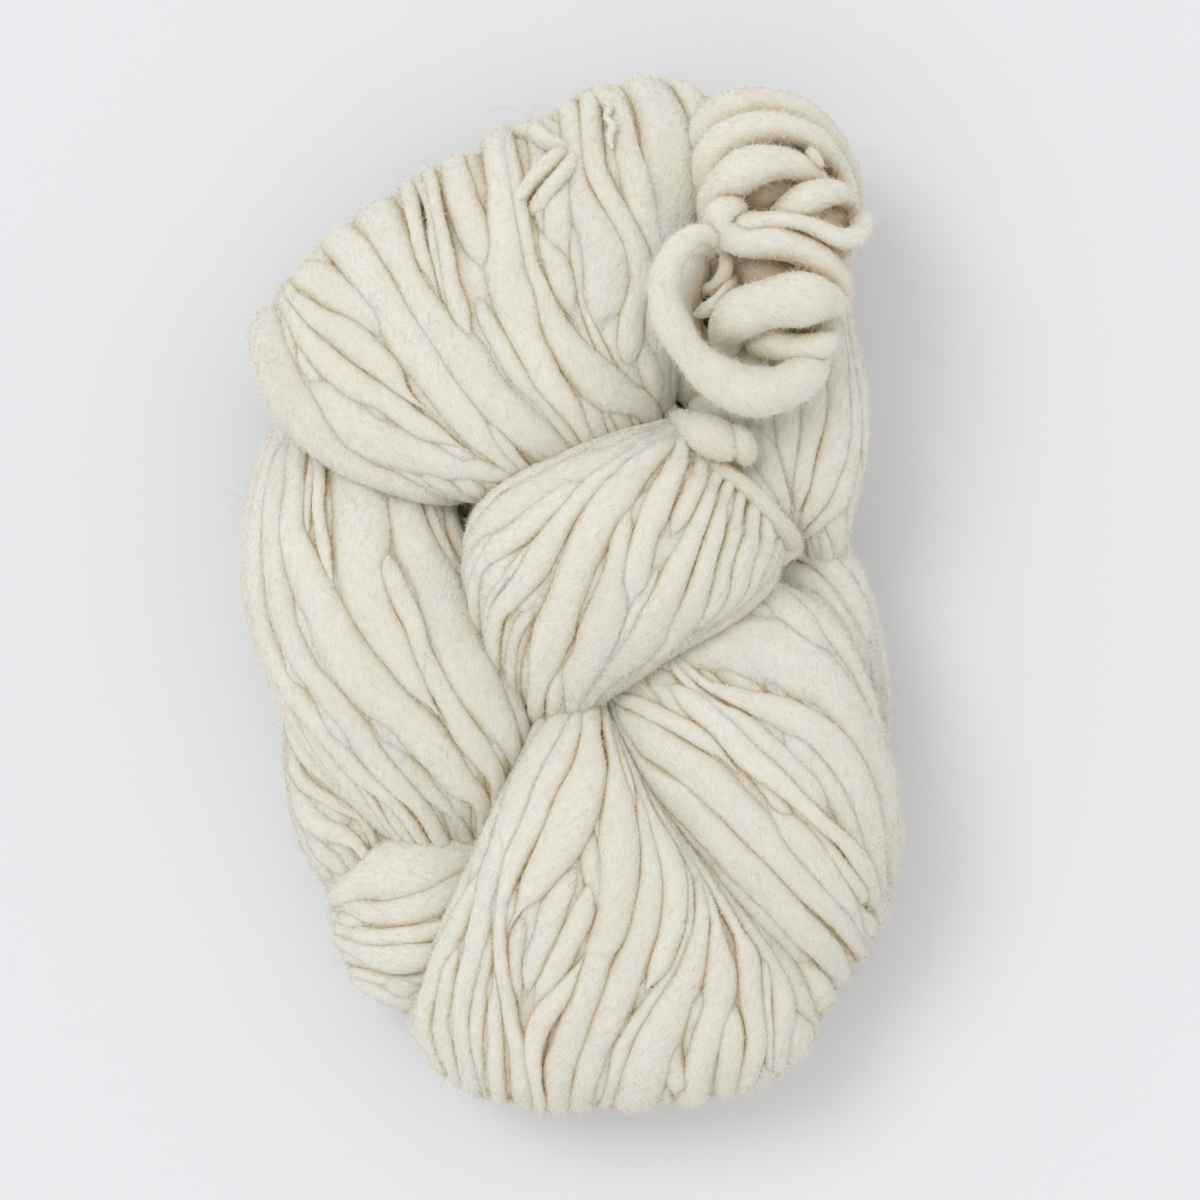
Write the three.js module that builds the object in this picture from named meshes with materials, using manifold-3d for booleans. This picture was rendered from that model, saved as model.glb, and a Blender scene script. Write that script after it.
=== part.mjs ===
// A hank of thick-and-thin single-ply knitting wool, twisted, tucked into itself and lying flat.
// Millimetres, +Z up, origin under the middle of the hank on the surface that it lies on.
// The crown of the hank points to +Y and its foot to -Y.

import * as THREE from "three";
import { mergeVertices } from "three/addons/utils/BufferGeometryUtils.js";
import Module from "manifold-3d";

const wasm = await Module();
wasm.setup();

// Driving size: crown to foot, as the hank lies.
const HANK_LENGTH = 262;

// The plan is drawn on a sheet whose units run across to the right and down to the foot.
const SHEET = { length: 1047, middleAcross: 571.4, middleDown: 594.3 };
const UNIT = HANK_LENGTH / SHEET.length;

const WOOL = { color: 0xece6d6, roughness: 0.95, metalness: 0 };
const TIE_WOOL = { color: 0xe6dfcc, roughness: 0.95, metalness: 0 };

const PLAIN_POINTS = 6;
const BOXINESS = 2.6;
const OUTLINE_STEPS = 40;
const VALLEY_SHARE = 0.26;
const VALLEY_MOST = 2.4;
const LOOP_SIDES = 8;
const LOOP_STEP = 8;
const TIE_SIDES = 8;
const TIE_STEPS = 40;
const TIE_GAP = 0.4;
const FLOOR_BLOCK = { width: 400, depth: 60 };
const CORE = { across: 575, down: 600, height: 25, halfWidth: 50, halfLength: 92, halfHeight: 17 };

// The twisted bundles of yarn. A section is the line from the bundle's left edge to its right edge, seen
// along its run, as [across, down, height]. outer and inner are its half thicknesses on the outward and
// the inward side, and gather is over 1 where the strands crowd to the right edge.
const BUNDLES = [
  {
    name: "crown", rows: 14, strands: 15, under: 0, seed: 0.13,
    sections: [
      { left: [548, 560, 22], right: [690, 480, 22], outer: 12, inner: 8, gather: 1 },
      { left: [500, 490, 38], right: [668, 408, 38], outer: 14, inner: 8, gather: 1 },
      { left: [425, 478, 51], right: [668, 330, 51], outer: 17, inner: 8, gather: 1 },
      { left: [348, 450, 51], right: [676, 245, 52], outer: 17, inner: 8, gather: 1 },
      { left: [300, 395, 45], right: [698, 155, 46], outer: 18, inner: 8, gather: 1 },
      { left: [288, 345, 31], right: [706, 108, 31], outer: 22, inner: 8, gather: 1 },
      { left: [315, 385, 15], right: [700, 165, 15], outer: 17, inner: 6, gather: 1 },
      { left: [400, 450, 13], right: [690, 280, 13], outer: 15, inner: 6, gather: 1 },
      { left: [500, 500, 16], right: [680, 400, 16], outer: 12, inner: 6, gather: 1 },
    ],
  },
  {
    name: "middle", rows: 11, strands: 11, under: 0, seed: 0.41,
    sections: [
      { left: [815, 520, 30], right: [700, 370, 30], outer: 12, inner: 10, gather: 1 },
      { left: [783, 545, 46], right: [668, 415, 48], outer: 13, inner: 10, gather: 1 },
      { left: [768, 592, 50], right: [620, 432, 51], outer: 22, inner: 10, gather: 1.3 },
      { left: [735, 622, 51], right: [560, 452, 52], outer: 26, inner: 10, gather: 1.3 },
      { left: [690, 648, 51], right: [490, 490, 51], outer: 25, inner: 10, gather: 1.3 },
      { left: [640, 675, 48], right: [468, 545, 48], outer: 22, inner: 10, gather: 1.3 },
      { left: [606, 702, 40], right: [490, 630, 41], outer: 17, inner: 10, gather: 1.3 },
      { left: [600, 750, 26], right: [545, 700, 26], outer: 10, inner: 8, gather: 1.3 },
    ],
  },
  {
    name: "left_turn", rows: 12, strands: 11, under: 7, seed: 0.77,
    sections: [
      { left: [500, 430, 24], right: [315, 385, 22], outer: 14, inner: 14, gather: 1 },
      { left: [458, 486, 31], right: [262, 450, 26], outer: 20, inner: 24, gather: 1 },
      { left: [482, 560, 36], right: [245, 535, 29], outer: 28, inner: 29, gather: 1 },
      { left: [510, 628, 38], right: [250, 615, 30], outer: 31, inner: 30, gather: 1 },
      { left: [544, 690, 37], right: [282, 700, 31], outer: 29, inner: 28, gather: 1 },
      { left: [548, 745, 32], right: [335, 778, 30], outer: 25, inner: 22, gather: 1 },
      { left: [512, 808, 26], right: [398, 836, 25], outer: 18, inner: 12, gather: 1 },
      { left: [560, 850, 16], right: [480, 900, 16], outer: 12, inner: 8, gather: 1 },
    ],
  },
  {
    name: "foot", rows: 14, strands: 14, under: 0, seed: 0.29,
    sections: [
      { left: [640, 640, 26], right: [565, 640, 26], outer: 10, inner: 8, gather: 1 },
      { left: [610, 705, 38], right: [547, 705, 38], outer: 13, inner: 8, gather: 1 },
      { left: [655, 790, 47], right: [497, 805, 46], outer: 19, inner: 9, gather: 1 },
      { left: [722, 870, 48], right: [455, 895, 46], outer: 20, inner: 9, gather: 1 },
      { left: [795, 950, 43], right: [418, 972, 40], outer: 19, inner: 8, gather: 1 },
      { left: [822, 990, 29], right: [410, 1004, 29], outer: 29, inner: 8, gather: 1 },
      { left: [795, 940, 14], right: [440, 945, 14], outer: 16, inner: 6, gather: 1 },
      { left: [720, 850, 13], right: [500, 850, 13], outer: 15, inner: 6, gather: 1 },
    ],
  },
  {
    name: "right_turn", rows: 12, strands: 12, under: 0, seed: 0.57,
    sections: [
      { left: [690, 540, 28], right: [560, 640, 28], outer: 10, inner: 8, gather: 1 },
      { left: [768, 578, 40], right: [606, 703, 40], outer: 15, inner: 8, gather: 1 },
      { left: [828, 612, 45], right: [645, 790, 47], outer: 21, inner: 9, gather: 1 },
      { left: [858, 672, 44], right: [702, 870, 46], outer: 22, inner: 9, gather: 1 },
      { left: [868, 740, 38], right: [762, 948, 40], outer: 20, inner: 9, gather: 1 },
      { left: [860, 800, 26], right: [792, 990, 27], outer: 16, inner: 8, gather: 1 },
      { left: [838, 800, 14], right: [765, 940, 14], outer: 16, inner: 6, gather: 1 },
      { left: [770, 760, 12], right: [690, 840, 12], outer: 14, inner: 6, gather: 1 },
    ],
  },
  {
    name: "heel", rows: 9, strands: 7, under: 0, seed: 0.91,
    sections: [
      { left: [530, 1000, 22], right: [540, 790, 24], outer: 14, inner: 8, gather: 1 },
      { left: [455, 1005, 26], right: [480, 818, 30], outer: 16, inner: 10, gather: 1 },
      { left: [415, 1012, 26], right: [415, 826, 32], outer: 17, inner: 10, gather: 1 },
      { left: [392, 1000, 23], right: [366, 848, 24], outer: 12, inner: 10, gather: 1 },
      { left: [430, 990, 13], right: [400, 850, 13], outer: 15, inner: 6, gather: 1 },
      { left: [520, 980, 12], right: [480, 850, 12], outer: 14, inner: 6, gather: 1 },
    ],
  },
  {
    name: "flank", rows: 8, strands: 6, under: 4, seed: 0.05,
    sections: [
      { left: [400, 620, 20], right: [290, 640, 18], outer: 12, inner: 14, gather: 1 },
      { left: [400, 710, 25], right: [282, 712, 20], outer: 16, inner: 20, gather: 1 },
      { left: [410, 780, 25], right: [286, 780, 19], outer: 18, inner: 21, gather: 1 },
      { left: [420, 840, 23], right: [302, 840, 18], outer: 17, inner: 19, gather: 1 },
      { left: [450, 900, 18], right: [345, 905, 16], outer: 14, inner: 14, gather: 1 },
    ],
  },
  {
    name: "shoulder", rows: 9, strands: 8, under: 5, seed: 0.68,
    sections: [
      { left: [826, 225, 30], right: [690, 225, 34], outer: 16, inner: 24, gather: 1 },
      { left: [850, 330, 31], right: [700, 330, 38], outer: 22, inner: 28, gather: 1 },
      { left: [862, 410, 30], right: [712, 410, 38], outer: 25, inner: 29, gather: 1 },
      { left: [852, 485, 28], right: [738, 476, 36], outer: 22, inner: 26, gather: 1 },
      { left: [824, 530, 23], right: [776, 533, 30], outer: 16, inner: 18, gather: 1 },
      { left: [792, 575, 16], right: [760, 585, 18], outer: 10, inner: 10, gather: 1 },
    ],
  },
  {
    name: "hip", rows: 9, strands: 6, under: 5, seed: 0.36,
    sections: [
      { left: [800, 480, 18], right: [720, 520, 20], outer: 12, inner: 14, gather: 1 },
      { left: [848, 545, 22], right: [735, 590, 26], outer: 16, inner: 20, gather: 1 },
      { left: [876, 615, 23], right: [770, 640, 28], outer: 19, inner: 22, gather: 1 },
      { left: [883, 690, 22], right: [800, 720, 26], outer: 18, inner: 21, gather: 1 },
      { left: [880, 780, 18], right: [800, 800, 20], outer: 15, inner: 17, gather: 1 },
      { left: [850, 880, 14], right: [770, 860, 14], outer: 12, inner: 12, gather: 1 },
    ],
  },
  {
    name: "back_turn", rows: 7, strands: 8, under: 0, seed: 0.84,
    sections: [
      { left: [640, 300, 24], right: [800, 400, 24], outer: 12, inner: 8, gather: 1 },
      { left: [590, 400, 16], right: [745, 500, 16], outer: 17, inner: 8, gather: 1 },
      { left: [530, 480, 14], right: [690, 600, 14], outer: 16.5, inner: 8, gather: 1 },
      { left: [450, 560, 14], right: [610, 690, 14], outer: 16.5, inner: 8, gather: 1 },
      { left: [380, 650, 14], right: [530, 780, 14], outer: 16.5, inner: 8, gather: 1 },
      { left: [340, 740, 18], right: [470, 850, 18], outer: 14, inner: 8, gather: 1 },
    ],
  },
  {
    name: "back_cross", rows: 6, strands: 8, under: 0, seed: 0.22,
    sections: [
      { left: [700, 470, 22], right: [840, 560, 22], outer: 12, inner: 8, gather: 1 },
      { left: [650, 560, 15], right: [825, 680, 15], outer: 16, inner: 8, gather: 1 },
      { left: [600, 640, 14], right: [780, 780, 14], outer: 16, inner: 8, gather: 1 },
      { left: [520, 720, 15], right: [690, 860, 15], outer: 16, inner: 8, gather: 1 },
      { left: [450, 790, 22], right: [600, 930, 22], outer: 12, inner: 8, gather: 1 },
    ],
  },
];

// The end loops that stand out of the tuck, one thick strand each, as [across, down, height, radius].
const LOOPS = [
  { name: "outer_loop", points: [[704, 215, 44, 7], [708, 158, 50, 7], [744, 119, 52, 6.5], [790, 119, 50, 6], [826, 148, 47, 5.5], [845, 190, 45, 5], [848, 225, 43, 4.5], [832, 262, 38, 4]] },
  { name: "second_loop", points: [[706, 245, 50, 7], [716, 188, 58, 8], [750, 154, 60, 8], [795, 146, 58, 7], [827, 170, 55, 5.5], [842, 205, 52, 4.5], [838, 240, 46, 4]] },
  { name: "third_loop", points: [[724, 265, 52, 7], [721, 226, 60, 8], [742, 196, 66, 8.5], [775, 182, 67, 7], [803, 182, 65, 5], [823, 198, 59, 4], [832, 226, 50, 4]] },
  { name: "fourth_loop", points: [[744, 262, 52, 6], [760, 238, 61, 6.5], [785, 214, 67, 6], [812, 201, 68, 5.5], [831, 201, 65, 4.5], [840, 214, 57, 4], [830, 236, 46, 4]] },
  { name: "fifth_loop", points: [[735, 268, 50, 5], [716, 250, 62, 6], [722, 231, 71, 6.5], [748, 234, 73, 6], [782, 236, 72, 5], [815, 243, 70, 5], [840, 256, 67, 5.2], [851, 243, 63, 5], [847, 222, 56, 4.5], [832, 212, 48, 4]] },
  { name: "broad_loop", points: [[722, 262, 54, 6], [748, 260, 63, 8], [785, 264, 65, 9], [816, 277, 61, 7.5], [826, 302, 54, 6], [814, 330, 46, 5]] },
  { name: "slub", points: [[722, 348, 54, 5], [728, 334, 66, 6.5], [750, 322, 70, 8.5], [785, 309, 72, 10.5], [812, 307, 70, 9.5], [824, 320, 62, 7], [810, 340, 52, 6]] },
  { name: "slub_tip", points: [[775, 325, 56, 7], [794, 348, 62, 6], [814, 350, 66, 5], [829, 343, 67, 4.4], [824, 328, 60, 4]] },
  { name: "ring", points: [[748, 282, 54, 4], [728, 256, 65, 4.2], [703, 249, 70, 4.5], [680, 262, 73, 4.8], [665, 290, 74, 5.2], [664, 322, 74, 5.6], [675, 355, 74, 6], [700, 382, 74, 7], [736, 398, 73, 8], [776, 396, 71, 8], [801, 378, 66, 7], [809, 352, 57, 5.5], [800, 325, 46, 5]] },
  { name: "ring_lining", points: [[706, 256, 56, 4], [688, 280, 60, 5], [680, 318, 58, 5], [692, 348, 46, 5]] },
];

// The tie: a thinner strand round the shoulder bundle, with a knot whose one end shows.
const TIE_RING = [[668, 412, 48], [690, 446, 56], [712, 468, 62], [745, 492, 62], [768, 517, 57], [784, 544, 44], [782, 546, 24], [750, 500, 14], [700, 440, 16], [668, 408, 30]];
const TIE_RADIUS = 3.2;
const KNOT = [[672, 418, 54, 3.2], [692, 430, 59, 4.6], [712, 441, 63, 5.6], [732, 453, 64, 5.6], [750, 466, 61, 4]];

const TURN = 2 * Math.PI;
const fraction = (value) => value - Math.floor(value);

function place([across, down, height]) {
  return new THREE.Vector3((across - SHEET.middleAcross) * UNIT, (SHEET.middleDown - down) * UNIT, height);
}

function smooth(points) {
  return new THREE.CatmullRomCurve3(points, false, "catmullrom", 0.5);
}

// Thick-and-thin spinning: the relative width of one strand at a share of its bundle's run.
function swell(strand, along, seed) {
  const first = fraction(strand * 0.618 + seed);
  const second = fraction(strand * 0.755 + 3 * seed);
  const slow = Math.sin(TURN * (first + along * (0.5 + second)));
  const quick = Math.sin(TURN * (second + along * (1.6 + first)));
  return 1 + 0.45 * slow + 0.2 * quick;
}

// Where the valleys between strands lie, as shares of the way from the left edge to the right edge.
function valleys(count, along, seed, gather) {
  const edges = [0];
  for (let strand = 0; strand < count; strand++) edges.push(edges[strand] + swell(strand, along, seed));
  return edges.map((edge) => (edge / edges[count]) ** gather);
}

// The lengths along a line of points, and where a share of its whole length falls: the step's number and
// the part of that step.
function measure(points) {
  const lengths = [0];
  for (let step = 1; step < points.length; step++) {
    lengths.push(lengths[step - 1] + points[step].distanceTo(points[step - 1]));
  }
  const total = lengths.at(-1);
  const find = (share) => {
    let step = 1;
    while (step < points.length - 1 && lengths[step] < share * total) step++;
    return { step, part: (share * total - lengths[step - 1]) / (lengths[step] - lengths[step - 1]) };
  };
  return { total, find };
}

// Half of a boxy oval from its left end to its right end: a function from a share of its length to the
// point [aside, out] and the outward direction there.
function halfOval(halfWidth, thickness) {
  const points = [];
  for (let step = 0; step <= OUTLINE_STEPS; step++) {
    const angle = Math.PI * (1 - step / OUTLINE_STEPS);
    const aside = Math.sign(Math.cos(angle)) * Math.abs(Math.cos(angle)) ** (2 / BOXINESS);
    const out = Math.abs(Math.sin(angle)) ** (2 / BOXINESS);
    points.push(new THREE.Vector2(halfWidth * aside, step % OUTLINE_STEPS ? thickness * out : 0));
  }
  const { total, find } = measure(points);
  return (share) => {
    const { step, part } = find(share);
    const run = points[step].clone().sub(points[step - 1]);
    const point = points[step - 1].clone().addScaledVector(run, part);
    return { point, outward: new THREE.Vector2(-run.y, run.x).normalize(), total };
  };
}

// The points round one section, each as { aside, out }: two to a strand, a valley and the crest after it.
function ridged(count, along, seed, gather, halfWidth, thickness) {
  const oval = halfOval(halfWidth, thickness);
  const edges = valleys(count, along, seed, gather);
  const points = [];
  for (let strand = 0; strand < count; strand++) {
    const valley = oval(edges[strand]);
    const before = strand ? edges[strand - 1] : 0;
    const width = ((edges[strand + 1] - before) / 2) * valley.total;
    const depth = Math.min(VALLEY_SHARE * width, VALLEY_MOST, thickness / 3);
    points.push(valley.point.clone().addScaledVector(valley.outward, -depth));
    points.push(oval((edges[strand] + edges[strand + 1]) / 2).point);
  }
  return points;
}

function plain(halfWidth, thickness) {
  const oval = halfOval(halfWidth, thickness);
  return Array.from({ length: PLAIN_POINTS }, (_, step) => oval(step / PLAIN_POINTS).point);
}

// A bundle's section at each share of its run.
function runOf(sections) {
  const left = smooth(sections.map((section) => place(section.left)));
  const right = smooth(sections.map((section) => place(section.right)));
  const sizes = smooth(sections.map(({ outer, inner, gather }) => new THREE.Vector3(outer, inner, gather)));
  const middle = smooth(sections.map((section) => place(section.left).add(place(section.right)).divideScalar(2)));
  return (along) => {
    const centre = middle.getPoint(along);
    const aside = right.getPoint(along).sub(left.getPoint(along)).divideScalar(2);
    const halfWidth = aside.length();
    aside.normalize();
    const outward = aside.clone().cross(middle.getTangent(along)).normalize();
    const { x: outer, y: inner, z: gather } = sizes.getPoint(along);
    return { centre, aside, halfWidth, outward, outer, inner, gather };
  };
}

// Shares of a run that are evenly spaced along its outermost line, so that a sharp turn has enough rows.
function evenRows(section, rows) {
  const steps = 10 * rows;
  const crest = Array.from({ length: steps + 1 }, (_, step) => {
    const { centre, outward, outer } = section(step / steps);
    return centre.addScaledVector(outward, outer);
  });
  const { find } = measure(crest);
  return Array.from({ length: rows + 1 }, (_, row) => {
    const { step, part } = find(row / rows);
    return Math.min(1, (step - 1 + part) / steps);
  });
}

// A bundle is a sphere's grid drawn out along its run, so that its two ends are closed.
function bundleGeometry({ rows, strands, under, seed, sections }) {
  const section = runOf(sections);
  const rings = evenRows(section, rows).map((along, row) => {
    const { centre, aside, halfWidth, outward, outer, inner, gather } = section(along);
    const upper = ridged(strands, along, seed, gather, halfWidth, outer);
    const lower = under ? ridged(under, along, seed + 0.5, 1, halfWidth, inner) : plain(halfWidth, inner);
    const closing = row % rows ? 1 : 0;
    const spot = (x, y) => centre.clone().addScaledVector(aside, closing * x).addScaledVector(outward, closing * y);
    return [...upper.map((point) => spot(point.x, point.y)), ...lower.map((point) => spot(-point.x, -point.y))];
  });
  const around = rings[0].length;
  const geometry = new THREE.SphereGeometry(1, around, rows);
  const position = geometry.getAttribute("position");
  for (let i = 0; i < position.count; i++) {
    const step = (around - (i % (around + 1))) % around;
    const spot = rings[Math.floor(i / (around + 1))][step];
    position.setXYZ(i, spot.x, spot.y, spot.z);
  }
  return geometry;
}

// One strand with closed ends whose radius changes along its run.
function strandGeometry(points) {
  const line = smooth(points.map(place));
  const radii = smooth(points.map(([, , , radius]) => new THREE.Vector3(radius, 0, 0)));
  const steps = Math.max(6, Math.round(line.getLength() / LOOP_STEP));
  const frames = line.computeFrenetFrames(steps, false);
  const geometry = new THREE.SphereGeometry(1, LOOP_SIDES, steps);
  const position = geometry.getAttribute("position");
  for (let i = 0; i < position.count; i++) {
    const row = Math.floor(i / (LOOP_SIDES + 1));
    const angle = (-TURN * (i % (LOOP_SIDES + 1))) / LOOP_SIDES;
    const share = line.getUtoTmapping(row / steps);
    const radius = row % steps ? radii.getPoint(share).x : 0;
    const spot = line.getPoint(share);
    spot.addScaledVector(frames.normals[row], radius * Math.cos(angle));
    spot.addScaledVector(frames.binormals[row], radius * Math.sin(angle));
    position.setXYZ(i, spot.x, spot.y, spot.z);
  }
  return geometry;
}

// A closed ring of yarn.
function ringGeometry(points, radius) {
  const line = new THREE.CatmullRomCurve3(points.map(place), true, "catmullrom", 0.5);
  const frames = line.computeFrenetFrames(TIE_STEPS, true);
  const geometry = new THREE.TorusGeometry(1, 0.1, TIE_SIDES, TIE_STEPS);
  const position = geometry.getAttribute("position");
  for (let i = 0; i < position.count; i++) {
    const angle = (-TURN * Math.floor(i / (TIE_STEPS + 1))) / TIE_SIDES;
    const step = (i % (TIE_STEPS + 1)) % TIE_STEPS;
    const spot = line.getPointAt(step / TIE_STEPS);
    spot.addScaledVector(frames.normals[step], radius * Math.cos(angle));
    spot.addScaledVector(frames.binormals[step], radius * Math.sin(angle));
    position.setXYZ(i, spot.x, spot.y, spot.z);
  }
  return geometry;
}

// A three.js geometry as a solid that can be joined and cut, after its surface has grown outward.
function solidOf(geometry, growth = 0) {
  const bare = geometry.clone();
  bare.deleteAttribute("normal");
  bare.deleteAttribute("uv");
  const merged = mergeVertices(bare, 1e-3);
  merged.computeVertexNormals();
  const position = merged.getAttribute("position");
  const normal = merged.getAttribute("normal");
  for (let i = 0; i < position.count; i++) {
    const spot = new THREE.Vector3().fromBufferAttribute(position, i);
    spot.addScaledVector(new THREE.Vector3().fromBufferAttribute(normal, i), growth);
    position.setXYZ(i, spot.x, spot.y, spot.z);
  }
  const corners = [...merged.index.array];
  const triangles = [];
  for (let i = 0; i < corners.length; i += 3) {
    const [a, b, c] = corners.slice(i, i + 3);
    if (a !== b && b !== c && c !== a) triangles.push(a, b, c);
  }
  const mesh = new wasm.Mesh({
    numProp: 3,
    vertProperties: position.array,
    triVerts: new Uint32Array(triangles),
  });
  return new wasm.Manifold(mesh);
}

function geometryOf(solid) {
  const { vertProperties, triVerts, numProp } = solid.getMesh();
  const position = new Float32Array((vertProperties.length / numProp) * 3);
  for (let i = 0; i * numProp < vertProperties.length; i++) {
    position.set(vertProperties.subarray(i * numProp, i * numProp + 3), i * 3);
  }
  const geometry = new THREE.BufferGeometry();
  geometry.setAttribute("position", new THREE.BufferAttribute(position, 3));
  geometry.setIndex(new THREE.BufferAttribute(triVerts, 1));
  return geometry;
}

function joined(solids) {
  return solids.reduce((whole, solid) => whole.add(solid));
}

// The outside of a solid, with what is sealed inside it filled.
function filled(solid) {
  return solid.decompose().reduce((most, body) => (body.volume() > most.volume() ? body : most));
}

function coreGeometry() {
  const geometry = new THREE.SphereGeometry(1, 16, 8);
  geometry.scale(CORE.halfWidth, CORE.halfLength, CORE.halfHeight);
  const { x, y, z } = place([CORE.across, CORE.down, CORE.height]);
  return geometry.translate(x, y, z);
}

function floorGeometry() {
  const { width, depth } = FLOOR_BLOCK;
  return new THREE.BoxGeometry(width, width, depth).translate(0, 0, -depth / 2);
}

function tieSolid(growth) {
  return solidOf(ringGeometry(TIE_RING, TIE_RADIUS), growth).add(solidOf(strandGeometry(KNOT), growth));
}

function hankSolid() {
  const bundles = BUNDLES.map((bundle) => solidOf(bundleGeometry(bundle)));
  const loops = LOOPS.map((loop) => solidOf(strandGeometry(loop.points)));
  const whole = joined([solidOf(coreGeometry()), ...bundles, ...loops]);
  return filled(filled(whole.subtract(solidOf(floorGeometry()))).subtract(tieSolid(TIE_GAP)));
}

function meshOf(name, solid, finish) {
  const mesh = new THREE.Mesh(geometryOf(solid), new THREE.MeshStandardMaterial(finish));
  mesh.name = name;
  return mesh;
}

const hank = new THREE.Group();
hank.name = "yarn_hank";
hank.add(meshOf("hank", hankSolid(), WOOL));
hank.add(meshOf("tie", tieSolid(0), TIE_WOOL));

export default hank;
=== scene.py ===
"""A twisted hank of thick-and-thin knitting wool, lying flat and seen from straight above."""

import logging
import math
from dataclasses import dataclass, field
from enum import Enum

import bmesh
import bpy
import numpy as np
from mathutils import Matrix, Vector
from mathutils.bvhtree import BVHTree

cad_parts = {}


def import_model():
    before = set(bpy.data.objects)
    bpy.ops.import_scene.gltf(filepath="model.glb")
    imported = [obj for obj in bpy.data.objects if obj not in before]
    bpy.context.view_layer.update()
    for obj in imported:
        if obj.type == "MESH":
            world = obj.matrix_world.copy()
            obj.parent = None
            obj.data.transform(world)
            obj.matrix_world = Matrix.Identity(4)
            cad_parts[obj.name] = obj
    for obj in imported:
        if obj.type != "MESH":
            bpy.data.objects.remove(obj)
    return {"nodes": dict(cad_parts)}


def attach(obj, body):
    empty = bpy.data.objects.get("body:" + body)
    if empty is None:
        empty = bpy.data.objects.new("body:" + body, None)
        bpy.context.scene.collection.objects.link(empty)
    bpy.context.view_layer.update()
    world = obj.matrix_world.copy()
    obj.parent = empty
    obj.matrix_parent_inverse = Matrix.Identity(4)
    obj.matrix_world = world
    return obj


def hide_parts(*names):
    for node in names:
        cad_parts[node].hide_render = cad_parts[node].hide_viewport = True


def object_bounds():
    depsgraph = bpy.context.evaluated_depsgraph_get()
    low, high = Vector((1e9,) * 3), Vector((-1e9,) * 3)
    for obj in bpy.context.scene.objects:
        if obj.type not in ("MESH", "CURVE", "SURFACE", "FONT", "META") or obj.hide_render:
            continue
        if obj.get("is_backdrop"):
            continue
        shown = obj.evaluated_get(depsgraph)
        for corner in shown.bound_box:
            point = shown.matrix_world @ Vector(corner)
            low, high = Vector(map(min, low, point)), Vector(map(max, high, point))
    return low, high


log = logging.getLogger("hank")

MM = 0.001
BODY = "root"
IMAGE_SIZE = 1200

# The plan is drawn on a sheet whose units run across to the right and down to the foot of the hank.
SHEET_UNIT = 262.0 / 1047.0 * MM
SHEET_MIDDLE = (571.4, 594.3)

# The camera looks straight down at the middle of the picture, and the sheet is true at this height.
CAMERA_HEIGHT = 1.285
TRUE_HEIGHT = 0.035


class Slot(Enum):
    """The record's material slots."""

    WOOL = "wool"
    TIE_WOOL = "tie_wool"


class Cover(Enum):
    """How far round its bundle the visible yarn goes."""

    OUTSIDE = 0.9
    ALL_ROUND = math.pi


class Ends(Enum):
    """Which ends of a drawn strand sink between its neighbours, where the others run on."""

    RUN_ON = (False, False)
    FIRST_SINKS = (True, False)
    LAST_SINKS = (False, True)
    BOTH_SINK = (True, True)


def place(across: float, down: float, height: float) -> np.ndarray:
    """A point of the sheet in the row frame.

    Args:
        across: Sheet units to the right.
        down: Sheet units towards the foot.
        height: Millimetres above the surface.

    Returns:
        The point in metres.
    """
    x = (across - SHEET_MIDDLE[0]) * SHEET_UNIT
    y = (SHEET_MIDDLE[1] - down) * SHEET_UNIT
    return np.array([x, y, height * MM])


def smooth_line(points: np.ndarray, shares: np.ndarray) -> np.ndarray:
    """Follows a smooth line through points.

    Args:
        points: The points or other rows of values that the line goes through.
        shares: Where to read it, from 0 at the first point to 1 at the last.

    Returns:
        One row for each share.
    """
    rows = np.vstack([2 * points[0] - points[1], points, 2 * points[-1] - points[-2]])
    spot = np.clip(shares, 0, 1) * (len(points) - 1)
    first = np.minimum(spot.astype(int), len(points) - 2)
    t = (spot - first)[:, None]
    a, b, c, d = (rows[first + step] for step in range(4))
    return 0.5 * (2 * b + (c - a) * t + (2 * a - 5 * b + 4 * c - d) * t**2 + (3 * b - a - 3 * c + d) * t**3)


def unit(vectors: np.ndarray) -> np.ndarray:
    """Each vector at length 1."""
    return vectors / np.maximum(np.linalg.norm(vectors, axis=-1, keepdims=True), 1e-12)


def read_vectors(rows: object, key: str) -> np.ndarray:
    """One vector of each of a mesh's rows, as an array."""
    values = np.empty(len(rows) * 3, np.float32)
    rows.foreach_get(key, values)
    return values.reshape(-1, 3)


def store_values(mesh: bpy.types.Mesh, name: str, values: np.ndarray) -> None:
    """Stores a number or a vector for each point of a mesh."""
    kind, key = ("FLOAT_VECTOR", "vector") if values.ndim == 2 else ("FLOAT", "value")
    attribute = mesh.attributes.new(name, kind, "POINT")
    attribute.data.foreach_set(key, values.astype(np.float32).ravel())


def add_object(name: str, data: object) -> bpy.types.Object:
    """A new object in the scene."""
    made = bpy.data.objects.new(name, data)
    bpy.context.scene.collection.objects.link(made)
    return made


def new_finish(name: str, looks: dict[str, object]) -> tuple[bpy.types.Material, bpy.types.Node]:
    """A new material and its shader.

    Args:
        name: The material's name.
        looks: The values of the shader's inputs.

    Returns:
        The material and the shader.
    """
    material = bpy.data.materials.new(name)
    material.use_nodes = True
    shader = next(node for node in material.node_tree.nodes if node.type == "BSDF_PRINCIPLED")
    for key, value in looks.items():
        shader.inputs[key].default_value = value
    return material, shader


def soft_height(half_width: np.ndarray) -> np.ndarray:
    """Half the height of a strand, which lies flatter the thicker it is, in metres."""
    return 0.95 * MM * (half_width / MM) ** 0.75


def lengths_along(points: np.ndarray) -> np.ndarray:
    """The distance from the first point to each point, along the line."""
    steps = np.linalg.norm(np.diff(points, axis=0), axis=1)
    return np.concatenate([[0.0], np.cumsum(steps)])


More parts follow.
